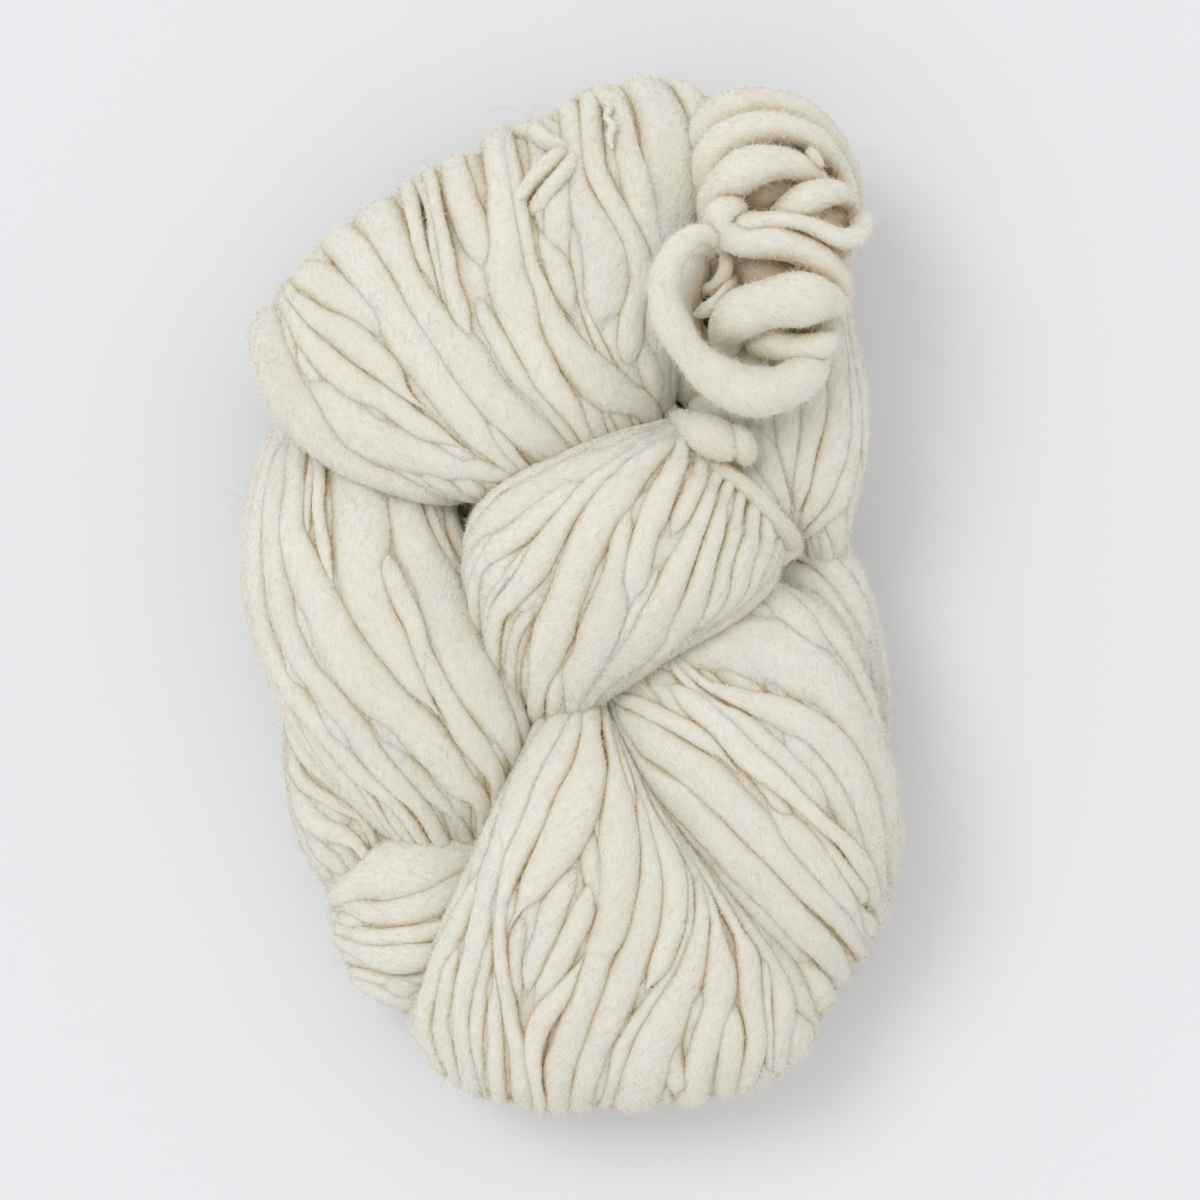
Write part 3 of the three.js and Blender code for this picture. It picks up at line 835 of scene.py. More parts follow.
@dataclass(frozen=True)
class Wool:
    """The finish of the yarn: soft cream wool whose fibres run along the strand.

    crest is the colour in the open, and the second colour is painted shade: a darker, warmer tan that the
    ambient occlusion mixes in down between the strands. fleck is the colour of its yellower fibres, and the
    sizes are in metres.
    """

    name: str
    crest: tuple[float, float, float]
    crease_shade: tuple[float, float, float]
    fleck: tuple[float, float, float]
    fibre_width: float = 0.45 * MM
    fibre_length: float = 7 * MM
    fibre_depth: float = 0.35 * MM
    lock_width: float = 1.7 * MM
    lock_length: float = 22 * MM
    lock_depth: float = 0.7 * MM
    nap_size: float = 0.9 * MM
    nap_depth: float = 0.3 * MM
    cloud_size: float = 24 * MM
    crease_shade_reach: float = 8 * MM

    def build(self) -> bpy.types.Material:
        """Makes the material."""
        looks = {
            "Roughness": 0.95,
            "Specular IOR Level": 0.1,
            "Sheen Weight": 0.1,
            "Sheen Roughness": 0.6,
            "Sheen Tint": (1.0, 0.95, 0.85, 1.0),
            "Subsurface Weight": 0.3,
            "Subsurface Radius": (1.0, 0.75, 0.45),
            "Subsurface Scale": 2.5 * MM,
        }
        material, shader = new_finish(self.name, looks)
        kit = NodeKit(material.node_tree)
        tone = kit.painted("tone", "Fac")
        streaks = self._streaks(kit, self.fibre_length, self.fibre_width)
        locks = self._streaks(kit, self.lock_length, self.lock_width)
        spot = kit.add("ShaderNodeTexCoord").outputs["Object"]
        nap = kit.noise(spot, self.nap_size, Detail=2.0, Roughness=0.7)
        cloud = kit.noise(spot, self.cloud_size, Detail=1.0)
        # Painted shade: ambient occlusion turns the colour to a darker, warmer tan down between the strands.
        near = kit.add("ShaderNodeAmbientOcclusion", {"only_local": True, "samples": 2})
        kit.feed(self.crease_shade_reach, near.inputs["Distance"])
        openness = kit.level(near.outputs["AO"], 0.3, 0.97, "SMOOTHSTEP")
        depth = kit.mix(openness, (*self.crease_shade, 1), (*self.crest, 1))
        flecked = kit.mix(kit.level(cloud, 0.45, 0.85, "LINEAR"), depth, (*self.fleck, 1))
        light = kit.math("ADD", 0.92, kit.math("MULTIPLY", streaks, 0.12))
        light = kit.math("ADD", light, kit.math("MULTIPLY", kit.math("SUBTRACT", tone, 0.5), 0.04))
        kit.feed(kit.scaled(flecked, light), shader.inputs["Base Color"])
        normal = None
        bumps = ((nap, self.nap_depth), (locks, self.lock_depth), (streaks, self.fibre_depth))
        for height, distance in bumps:
            bump = kit.add("ShaderNodeBump", Height=height, Distance=distance, Strength=0.8)
            if normal is not None:
                kit.feed(normal, bump.inputs["Normal"])
            normal = bump.outputs[0]
        kit.feed(normal, shader.inputs["Normal"])
        return material

    @staticmethod
    def _streaks(kit: NodeKit, length: float, width: float) -> bpy.types.NodeSocket:
        """A noise drawn out along the strand."""
        lines = kit.vector("MULTIPLY", kit.painted("fibre", "Vector"), (1 / length, 1 / width, 1 / width))
        return kit.noise(lines, 1.0, Detail=2.0, Roughness=0.6)


@dataclass(frozen=True)
class LooseWool:
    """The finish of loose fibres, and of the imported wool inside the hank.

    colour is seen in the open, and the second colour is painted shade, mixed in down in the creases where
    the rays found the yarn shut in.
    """

    name: str
    colour: tuple[float, float, float]
    deep_shade: tuple[float, float, float]
    patch: float = 0.9 * MM

    def build(self) -> bpy.types.Material:
        """Makes the material."""
        material, shader = new_finish(self.name, {"Roughness": 0.95, "Specular IOR Level": 0.05})
        kit = NodeKit(material.node_tree)
        patches = kit.noise(kit.add("ShaderNodeTexCoord").outputs["Object"], self.patch, Detail=3.0)
        # Painted shade: where the rays found the point shut in, the colour turns to the darker, warmer
        # second colour.
        openness = kit.level(kit.painted("open", "Fac"), 0.42, 0.86, "SMOOTHSTEP")
        colour = kit.mix(openness, (*self.deep_shade, 1), (*self.colour, 1))
        light = kit.math("ADD", 0.88, kit.math("MULTIPLY", patches, 0.24))
        kit.feed(kit.scaled(colour, light), shader.inputs["Base Color"])
        return material


@dataclass(frozen=True)
class Finishes:
    """The materials that the pieces share."""

    wool: bpy.types.Material
    tie: bpy.types.Material
    fuzz: bpy.types.Material
    hair: bpy.types.Material
    heart: bpy.types.Material

    @classmethod
    def make(cls) -> "Finishes":
        """Makes them all."""
        return cls(
            # Each wool's second colour is painted shade for the creases.
            wool=Wool("cream_wool", (0.85, 0.825, 0.75), (0.68, 0.52, 0.28), (0.83, 0.79, 0.68)).build(),
            tie=Wool("tie_wool", (0.81, 0.77, 0.67), (0.66, 0.51, 0.29), (0.79, 0.73, 0.61)).build(),
            # The loose fibres' second colour is painted shade for the creases.
            fuzz=LooseWool("loose_fibre", (0.86, 0.84, 0.77), (0.66, 0.54, 0.36)).build(),
            hair=LooseWool("stray_hair", (0.7, 0.64, 0.5), (0.7, 0.64, 0.5)).build(),
            # The packed heart's one colour is painted shade for the gaps between strands.
            heart=LooseWool("packed_wool_shade", (0.58, 0.48, 0.33), (0.58, 0.48, 0.33)).build(),
        )


def own(piece: bpy.types.Object, slot: Slot, node: str) -> bpy.types.Object:
    """Rides a finished piece on the hank and hides the plain solid that it replaces.

    Args:
        piece: The finished piece.
        slot: The record's slot; not used.
        node: The plain solid that it replaces.

    Returns:
        The piece.
    """
    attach(piece, BODY)
    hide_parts(node)
    log.info("%s: %d faces", piece.name, len(piece.data.polygons))
    return piece


@dataclass(frozen=True)
class Bundle:
    """One twisted bundle of yarn.

    drawn are the strands that show from above, and strands is how many others lie across it where nothing
    is drawn. tucked is how much of the bundle's beginning lies down under its neighbour, under is how far
    the other strands lie under the drawn ones, and step is the distance between two points of a strand, in
    metres.
    """

    name: str
    strands: int
    seed: int
    cover: Cover
    sections: tuple[Section, ...]
    drawn: tuple[Strand, ...] = ()
    tucked: float = 0.0
    step: float = 2.6 * MM
    under: float = 1.8 * MM
    boxiness: float = 2.6

    def _frames(self, shares: np.ndarray) -> dict[str, np.ndarray]:
        """The sections' places and sizes at shares of the run."""
        left = smooth_line(np.array([place(*row.left) for row in self.sections]), shares)
        right = smooth_line(np.array([place(*row.right) for row in self.sections]), shares)
        sizes = smooth_line(np.array([(row.outer * MM, row.inner * MM) for row in self.sections]), shares)
        centre = (left + right) / 2
        aside = unit(right - left)
        return {
            "centre": centre,
            "aside": aside,
            "half": np.linalg.norm(right - left, axis=1) / 2,
            "outward": unit(np.cross(aside, unit(np.gradient(centre, axis=0)))),
            "outer": sizes[:, 0],
            "inner": sizes[:, 1],
        }

    def _outlines(self, frames: dict[str, np.ndarray]) -> tuple[np.ndarray, np.ndarray, np.ndarray]:
        """The outline of every section: its points, their outward directions and the lengths along it."""
        reach = self.cover.value
        if self.cover is Cover.ALL_ROUND:
            angles = np.linspace(-math.pi / 2, 1.5 * math.pi, 161)
        else:
            angles = np.linspace(-reach, math.pi + reach, 161)
        power = 2 / self.boxiness
        cosine = np.sign(np.cos(angles)) * np.abs(np.cos(angles)) ** power
        sine = np.sign(np.sin(angles)) * np.abs(np.sin(angles)) ** power
        thick = np.where(sine[None, :] > 0, frames["outer"][:, None], frames["inner"][:, None])
        points = np.stack([-frames["half"][:, None] * cosine[None, :], thick * sine[None, :]], axis=2)
        rise = np.gradient(points, axis=1)
        normals = unit(np.stack([-rise[:, :, 1], rise[:, :, 0]], axis=2))
        steps = np.linalg.norm(np.diff(points, axis=1), axis=2)
        lengths = np.concatenate([np.zeros((len(points), 1)), np.cumsum(steps, axis=1)], axis=1)
        return points, normals, lengths

    def surface(self) -> Surface:
        """The bundle's smooth outside."""
        fine = np.linspace(0, 1, 300)
        frames = self._frames(fine)
        run = lengths_along(frames["centre"] + frames["outward"] * frames["outer"][:, None])
        even = np.linspace(0, run[-1], max(20, round(run[-1] / MM)))
        frames = self._frames(np.interp(even, run, fine))
        points, normals, lengths = self._outlines(frames)
        grids = []
        for source in (points, normals):
            across = np.empty((len(even), 201, 2))
            for row in range(len(even)):
                at = np.linspace(0, lengths[row, -1], 201)
                for axis in range(2):
                    across[row, :, axis] = np.interp(at, lengths[row], source[row, :, axis])
            aside = across[:, :, :1] * frames["aside"][:, None, :]
            grids.append(aside + across[:, :, 1:] * frames["outward"][:, None, :])
        return Surface.over(even, lengths[:, -1], frames["centre"][:, None, :] + grids[0], unit(grids[1]))

    def _draw(self, surface: Surface, strands: Strands, rng: np.random.Generator) -> np.ndarray:
        """Adds the drawn strands.

        Args:
            surface: The bundle's outside.
            strands: What they are added to.
            rng: The source of chance.

        Returns:
            How far each point of the surface's grid is covered by them, from 0 to 1.
        """
        covered = np.zeros(surface.points.shape[:2])
        columns = np.linspace(0, 1, covered.shape[1])
        for strand in self.drawn:
            lay = strand.lay(surface, self.step)
            run = lengths_along(surface.read(surface.points, lay.run, lay.share))
            half_width = lay.half_width * (1.1 + 0.06 * wander(run, 26 * MM, rng)) * (1 - 0.72 * lay.sunk)
            half_height = soft_height(half_width)
            lift = (strand.lift + rng.uniform(-0.3, 0.4) + 0.2 * wander(run, 45 * MM, rng)) * MM
            depth = lay.sunk * (half_height * 1.1 + 0.8 * MM) + self._tuck(lay.run) - lift
            way = self._sink(surface, lay.run, lay.share, half_height + depth)
            strands.add(*way, half_width, half_height)
            reach = half_width / surface.read(surface.width, lay.run, lay.share)
            rows = np.clip(np.round(lay.run / surface.run[-1] * (len(covered) - 1)), 0, len(covered) - 1)
            for row, share, half in zip(rows.astype(int), lay.share, reach):
                part = np.abs(columns - share) < half
                covered[max(0, row - 2) : row + 3, part] = 1
        return covered

    @staticmethod
    def _sink(
        surface: Surface, run: np.ndarray, share: np.ndarray, depth: np.ndarray
    ) -> tuple[np.ndarray, np.ndarray]:
        """Points at a depth under the bundle's outside, and their outward directions."""
        outward = surface.read(surface.outward, run, share)
        return surface.read(surface.points, run, share) - outward * depth[:, None], unit(outward)

    def _tuck(self, run: np.ndarray) -> np.ndarray:
        """How much deeper the strands lie where the bundle is tucked under its neighbour."""
        return 15 * MM * np.clip((self.tucked - run) / (6 * MM), 0, 1)

    def routes(self) -> Strands:
        """The strands of this bundle."""
        rng = np.random.default_rng(self.seed)
        surface = self.surface()
        strands = Strands()
        covered = self._draw(surface, strands, rng)
        kernel = np.ones(9) / 9
        covered = np.apply_along_axis(np.convolve, 0, covered, kernel, "same")
        run = np.linspace(0, surface.run[-1], max(12, round(surface.run[-1] / self.step)))
        edges = np.concatenate([[0.0], np.cumsum(np.exp(rng.normal(0, 0.4, self.strands)))])
        sway = np.array([wander(run, 70 * MM, rng) for _ in edges]) * 0.2 / self.strands
        lines = np.clip(edges[:, None] / edges[-1] + sway, 0, 1)
        for low, high in zip(lines[:-1], lines[1:]):
            share = (low + high) / 2
            width = np.abs(high - low) * surface.read(surface.width, run, share)
            half_width = np.maximum(0.6 * width, 1.2 * MM)
            half_height = soft_height(half_width)
            lift = (0.1 + 0.3 * wander(run, 60 * MM, rng)) * MM
            depth = self.under * surface.read(covered, run, share) + self._tuck(run) - lift
            way = self._sink(surface, run, share, half_height + depth)
            strands.add(*way, half_width, half_height)
        return strands


@dataclass(frozen=True)
class Yarn:
    """The bundles of the hank."""

    bundles: tuple[Bundle, ...]
    sweep: YarnSweep = YarnSweep()
    hidden_depth: float = 3.4 * MM

    def build(self, skin: BVHTree, finishes: Finishes) -> list[bpy.types.Object]:
        """Makes the strands of each bundle.

        Args:
            skin: The outside of the plain hank.
            finishes: The materials.

        Returns:
            One piece for each bundle.
        """
        pieces = []
        for bundle in self.bundles:
            strands = bundle.routes().visible(skin, self.hidden_depth, 3)
            pieces.append(self.sweep.build(f"{bundle.name}_strands", strands, finishes.wool, bundle.seed))
        return pieces


@dataclass(frozen=True)
class Loop:
    """One strand by itself, through points of (across, down, height, radius)."""

    points: tuple[tuple[float, float, float, float], ...]
    closed: bool = False
    flatness: float = 1.0

    def route(self, rng: np.random.Generator, step: float) -> tuple[np.ndarray, ...]:
        """Its points, outward directions, half widths and half heights.

        Args:
            rng: The source of chance.
            step: The distance between two points, in metres.

        Returns:
            The arrays that Strands.add takes.
        """
        rows = np.array([(*place(*point[:3]), point[3] * MM) for point in self.points])
        fine = np.linspace(0, 1, 400)
        if self.closed:
            rows = np.vstack([rows[-2:], rows, rows[:3]])
            reach = len(rows) - 1
            fine = np.linspace(2 / reach, (reach - 2) / reach, 400)
        line = smooth_line(rows, fine)
        run = lengths_along(line[:, :3])
        count = max(12, round(run[-1] / step))
        even = smooth_line(rows, np.interp(np.linspace(0, run[-1], count), run, fine))
        centre = even[:, :3]
        tangent = unit(np.gradient(centre, axis=0))
        up = np.tile([0.0, 0.0, 1.0], (count, 1)) + 0.15 * np.cross(tangent, [0.0, 0.0, 1.0])
        outward = unit(up - tangent * np.sum(up * tangent, axis=1, keepdims=True))
        uneven = 1 + 0.07 * wander(np.linspace(0, run[-1], count), 22 * MM, rng)
        radius = even[:, 3] * uneven
        if not self.closed:
            ends = np.minimum(np.arange(count), np.arange(count)[::-1])
            radius = radius * np.sqrt(np.clip((ends + 0.1) / 3, 0, 1))
        return centre, outward, radius, radius * self.flatness


@dataclass(frozen=True)
class FreeStrands:
    """Strands that lie by themselves, as one piece.

    step is the distance between two points of a strand, in metres.
    """

    name: str
    loops: tuple[Loop, ...]
    seed: int
    step: float
    sweep: YarnSweep

    def build(self, finish: bpy.types.Material) -> bpy.types.Object:
        """Makes the strands in their finish."""
        rng = np.random.default_rng(self.seed)
        strands = Strands()
        for loop in self.loops:
            strands.add(*loop.route(rng, self.step))
        return self.sweep.build(self.name, strands, finish, self.seed)


@dataclass(frozen=True)
class StrayHairs:
    """The long loose hairs that stand off the yarn.

    drawn are the ones that the plan shows. count is how many others there are, and shortest and longest are
    their lengths in metres. They start where at least showing of the rays get away.
    """

    drawn: tuple[Loop, ...]
    count: int = 1300
    seed: int = 91
    shortest: float = 4 * MM
    longest: float = 10 * MM
    radius: float = 0.04 * MM
    showing: float = 0.5
    points: int = 7
    sweep: YarnSweep = YarnSweep(sides=3, boxiness=1.0, lumps=0.0)

    def build(self, yarn: list[bpy.types.Object], finishes: Finishes) -> bpy.types.Object:
        """Makes the hairs.

        Args:
            yarn: The pieces that they stand on, marked by Openness.
            finishes: The materials.

        Returns:
            The finished piece.
        """
        rng = np.random.default_rng(self.seed)
        strands = Strands()
        for loop in self.drawn:
            strands.add(*loop.route(rng, 1.5 * MM))
        spots = np.vstack([read_vectors(piece.data.vertices, "co") for piece in yarn])
        normals = np.vstack([read_vectors(piece.data.vertex_normals, "vector") for piece in yarn])
        along = np.vstack([read_vectors(piece.data.attributes["along"].data, "vector") for piece in yarn])
        marks = [piece.data.attributes["outside"].data for piece in yarn]
        outside = np.array([mark.value for rows in marks for mark in rows])
        showing = np.flatnonzero(outside > self.showing)
        for start in rng.choice(showing, self.count, replace=False):
            strands.add(*self._hair(spots[start], normals[start], along[start], rng))
        return self.sweep.build("stray_hairs", strands, finishes.hair, self.seed)

    def _hair(
        self, spot: np.ndarray, normal: np.ndarray, along: np.ndarray, rng: np.random.Generator
    ) -> tuple[np.ndarray, ...]:
        """One bent hair from a spot on the yarn, as the arrays that Strands.add takes."""
        step = rng.uniform(self.shortest, self.longest) / (self.points - 1)
        aside = np.cross(normal, along)
        heading = along * rng.choice([-1, 1]) + normal * rng.uniform(0.15, 0.8)
        heading = heading + aside * rng.uniform(-0.9, 0.9)
        bend = (aside * rng.uniform(-1, 1) - normal * rng.uniform(0.0, 0.5)) * 0.35
        line = [spot]
        for _ in range(self.points - 1):
            heading = unit(heading)
            line.append(line[-1] + heading * step)
            heading = heading + bend + rng.normal(0, 0.12, 3)
        width = self.radius * np.linspace(1, 0.4, self.points)
        return np.array(line), np.tile(normal, (self.points, 1)), width, width


@dataclass(frozen=True)
class Heart:
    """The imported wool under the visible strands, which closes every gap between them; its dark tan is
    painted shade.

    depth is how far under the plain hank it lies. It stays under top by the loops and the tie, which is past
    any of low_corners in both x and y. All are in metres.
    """

    depth: float = 3.6 * MM
    top: float = 44 * MM
    low_corners: tuple[tuple[float, float], ...] = ((21 * MM, 42 * MM), (46 * MM, 8 * MM))

    def build(self, solid: bpy.types.Object, finishes: Finishes) -> bpy.types.Object:
        """Makes it from the plain hank.

        Args:
            solid: The plain hank.
            finishes: The materials.

        Returns:
            The finished piece.
        """
        shape = bmesh.new()
        shape.from_mesh(solid.data)
        bmesh.ops.remove_doubles(shape, verts=shape.verts, dist=0.02 * MM)
        shape.normal_update()
        spots = [vert.co - vert.normal * self.depth for vert in shape.verts]
        for vert, spot in zip(shape.verts, spots):
            vert.co = spot
            vert.co.z = max(vert.co.z, 0.6 * MM)
            if any(vert.co.x > left and vert.co.y > lower for left, lower in self.low_corners):
                vert.co.z = min(vert.co.z, self.top)
        mesh = bpy.data.meshes.new("packed_heart")
        shape.to_mesh(mesh)
        shape.free()
        mesh.materials.append(finishes.heart)
        return own(add_object("packed_heart", mesh), Slot.WOOL, "hank")


@dataclass(frozen=True)
class Studio:
    """The camera straight above, the pale floor and the soft light from the upper left."""

    sensor: float = 36.0
    floor_size: float = 6.0
    key_strength: float = 0.8
    key_softness: float = math.radians(26)
    sky: float = 0.86

    def camera(self) -> None:
        """Sets up the camera."""
        data = bpy.data.cameras.new("camera")
        data.sensor_width = self.sensor
        data.lens = self.sensor * (CAMERA_HEIGHT - TRUE_HEIGHT) / (IMAGE_SIZE * SHEET_UNIT)
        data.clip_end = 20
        camera = add_object("camera", data)
        x, y, _ = place(IMAGE_SIZE / 2, IMAGE_SIZE / 2, 0)
        camera.location = (x, y, CAMERA_HEIGHT)
        bpy.context.scene.camera = camera

    def light(self) -> None:
        """Sets up the floor and the lights."""
        mesh = bpy.data.meshes.new("studio_floor")
        half = self.floor_size / 2
        corners = [(-half, -half, 0), (half, -half, 0), (half, half, 0), (-half, half, 0)]
        mesh.from_pydata(corners, [], [(0, 1, 2, 3)])
        floor = add_object("studio_floor", mesh)
        looks = {"Base Color": (0.775, 0.785, 0.81, 1), "Roughness": 0.9, "Specular IOR Level": 0.1}
        mesh.materials.append(new_finish("pale_floor", looks)[0])
        floor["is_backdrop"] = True
        world = bpy.data.worlds.new("sky")
        world.use_nodes = True
        background = world.node_tree.nodes["Background"]
        background.inputs["Color"].default_value = (1.0, 0.992, 0.978, 1)
        background.inputs["Strength"].default_value = self.sky
        bpy.context.scene.world = world
        bpy.context.scene.view_settings.view_transform = "Standard"
        data = bpy.data.lights.new("key_light", "SUN")
        data.energy = self.key_strength
        data.color = (0.94, 0.97, 1.0)
        data.angle = self.key_softness
        lamp = add_object("key_light", data)
        lamp.location = (-0.55, 0.42, 1.1)
        lamp.rotation_euler = (-lamp.location).to_track_quat("-Z", "Y").to_euler()


RUN_ON, FIRST, LAST, BOTH = Ends


def rows_of(size: int, numbers: tuple[float, ...]) -> tuple[tuple[float, ...], ...]:
    """The numbers in rows of one size."""
    return tuple(zip(*[iter(numbers)] * size))


def strand(ends: Ends, lift: float, *numbers: float) -> Strand:
    """A strand from the across, down and half width of each of its points."""
    return Strand(rows_of(3, numbers), ends, lift)


def loop(*numbers: float, closed: bool = False, flatness: float = 1.0) -> Loop:
    """A loop from the across, down, height and radius of each of its points."""
    return Loop(rows_of(4, numbers), closed, flatness)


def section(*numbers: float) -> Section:
    """A section from its left edge, its right edge and its two thicknesses."""
    return Section(numbers[:3], numbers[3:6], *numbers[6:])


CROWN_STRANDS = (
    strand(LAST, -0.6, 280, 384, 5, 288, 402, 9, 300, 424, 11, 316, 440, 10, 332, 452, 6),
    strand(LAST, -0.2, 284, 348, 7, 289, 366, 8, 300, 385, 9, 315, 404, 7, 335, 420, 4),
    strand(RUN_ON, 0, 287, 382, 7, 305, 404, 20, 325, 418, 30, 360, 433, 27, 400, 450, 23, 440, 466, 17,
        480, 475, 12, 512, 479, 6),
    strand(LAST, 0, 287, 312, 8, 300, 333, 11, 325, 360, 14, 355, 385, 15, 385, 402, 12, 415, 424, 11,
        442, 440, 8, 470, 453, 4),
    strand(LAST, 0.3, 292, 297, 7, 312, 315, 13, 340, 330, 17, 365, 350, 16, 385, 370, 12, 405, 393, 6,
        430, 412, 4),
    strand(LAST, -0.3, 303, 270, 19, 330, 285, 21, 358, 303, 19, 380, 325, 15, 398, 350, 12),
    strand(RUN_ON, 0, 338, 237, 20, 362, 268, 22, 385, 300, 22, 408, 340, 25, 430, 372, 22, 455, 405, 18,
        480, 435, 15, 500, 458, 8),
    strand(FIRST, -0.3, 466, 402, 4, 487, 425, 7, 503, 447, 8, 517, 463, 5),
    strand(RUN_ON, 0.3, 372, 208, 24, 388, 240, 20, 402, 268, 14, 420, 298, 15, 440, 330, 20,
        462, 360, 24, 485, 390, 24, 508, 416, 22, 535, 440, 20),
    strand(LAST, 0, 405, 188, 8, 412, 215, 7, 420, 245, 7, 430, 272, 7, 438, 298, 4),
    strand(LAST, -0.5, 420, 183, 6, 428, 212, 5, 432, 240, 5, 437, 268, 5, 443, 295, 4, 450, 325, 3),
    strand(LAST, 0.6, 432, 188, 6, 438, 220, 6, 443, 250, 7, 450, 280, 8, 456, 305, 9, 465, 330, 8,
        478, 352, 6),
    strand(FIRST, -0.9, 462, 268, 4, 472, 290, 8, 484, 315, 9, 500, 345, 11, 520, 375, 12, 545, 402, 11,
        565, 430, 8),
    strand(LAST, 0, 452, 165, 12, 460, 195, 16, 470, 225, 17, 482, 255, 14, 492, 285, 10),
    strand(RUN_ON, 0.3, 497, 158, 15, 500, 195, 15, 503, 235, 18, 506, 270, 22, 515, 300, 22,
        525, 330, 18, 535, 355, 16, 550, 382, 14, 568, 408, 10, 583, 432, 7),
    strand(RUN_ON, 0.6, 508, 150, 8, 516, 195, 7, 524, 230, 6, 530, 262, 7, 541, 292, 8, 552, 320, 12,
        568, 348, 16, 590, 375, 21, 615, 395, 22, 645, 408, 12),
    strand(BOTH, -0.3, 535, 212, 7, 543, 240, 9, 555, 265, 13, 562, 290, 13, 572, 312, 9, 582, 332, 5),
    strand(LAST, -0.8, 532, 120, 9, 537, 150, 9, 535, 180, 9, 531, 205, 8),
    strand(LAST, 0, 568, 105, 10, 570, 145, 12, 573, 175, 14, 584, 205, 20, 600, 238, 28, 607, 272, 28,
        605, 305, 22, 602, 335, 16, 607, 352, 10),
    strand(LAST, 0.5, 587, 98, 10, 590, 140, 10, 597, 168, 10, 610, 195, 11, 624, 220, 10, 637, 245, 11,
        643, 275, 12, 637, 305, 11, 632, 335, 13, 634, 362, 15, 643, 380, 12),
    strand(RUN_ON, 0.2, 600, 85, 10, 615, 105, 11, 626, 135, 11, 633, 168, 14, 643, 203, 15, 657, 235, 14,
        668, 262, 12),
    strand(RUN_ON, 0.4, 650, 85, 20, 665, 120, 25, 674, 155, 26, 681, 190, 24, 683, 225, 22,
        683, 250, 20),
    strand(LAST, -0.2, 694, 90, 12, 706, 118, 12, 706, 150, 9, 701, 185, 5),
    strand(RUN_ON, -0.6, 655, 262, 12, 655, 300, 13, 660, 335, 13, 672, 365, 12, 690, 390, 12),
    strand(LAST, -0.6, 520, 110, 9, 548, 122, 9, 556, 140, 8, 552, 160, 7),
)

MIDDLE_STRANDS = (
    strand(RUN_ON, 0, 478, 525, 12, 500, 508, 18, 530, 492, 17, 560, 474, 15, 595, 458, 14, 630, 441, 10,
        665, 428, 8),
    strand(LAST, 0, 482, 562, 7, 497, 545, 12, 515, 532, 12, 535, 516, 12, 555, 500, 11, 575, 480, 9,
        600, 464, 5),
    strand(LAST, -0.3, 497, 588, 4, 515, 565, 4.5, 533, 543, 5, 552, 524, 4),
    strand(RUN_ON, 0.2, 497, 610, 8, 512, 596, 12, 530, 570, 15, 548, 543, 13, 562, 518, 10, 580, 495, 9,
        600, 476, 8, 625, 457, 5),
    strand(LAST, -0.5, 512, 640, 6, 530, 612, 7, 541, 595, 6, 550, 580, 3),
    strand(RUN_ON, 0.3, 537, 690, 8, 543, 668, 15, 553, 635, 20, 566, 600, 17, 575, 570, 19, 590, 535, 19,
        607, 500, 19, 628, 468, 18, 652, 442, 14, 672, 425, 10),
    strand(LAST, 0, 577, 705, 10, 582, 685, 17, 595, 655, 20, 606, 625, 22, 615, 595, 19, 618, 565, 13,
        620, 540, 10, 628, 512, 8, 640, 490, 5),
    strand(FIRST, 0.3, 625, 625, 5, 633, 590, 13, 638, 562, 13, 645, 535, 12, 655, 510, 14, 667, 485, 11,
        676, 462, 9, 683, 440, 7),
    strand(LAST, -0.7, 625, 642, 5, 638, 612, 7, 649, 588, 8, 659, 566, 7, 668, 545, 5),
    strand(FIRST, 0, 662, 556, 4, 671, 536, 8, 682, 513, 10, 691, 490, 10, 699, 470, 8, 703, 452, 6),
    strand(RUN_ON, 0.2, 598, 692, 10, 618, 676, 18, 640, 654, 20, 657, 625, 18, 670, 597, 15,
        681, 568, 12, 692, 540, 10, 702, 515, 8, 710, 490, 7),
    strand(RUN_ON, 0, 672, 650, 8, 688, 630, 14, 698, 605, 12, 704, 580, 10, 710, 555, 8, 716, 530, 8,
        722, 508, 7, 726, 490, 6),
    strand(RUN_ON, -0.2, 712, 618, 8, 722, 598, 10, 726, 572, 9, 730, 548, 8, 736, 522, 8, 741, 498, 6),
    strand(RUN_ON, 0, 732, 608, 7, 742, 588, 10, 746, 562, 9, 751, 538, 9, 755, 512, 7),
    strand(RUN_ON, -0.2, 754, 592, 6, 762, 568, 9, 768, 545, 9, 768, 522, 7),
)

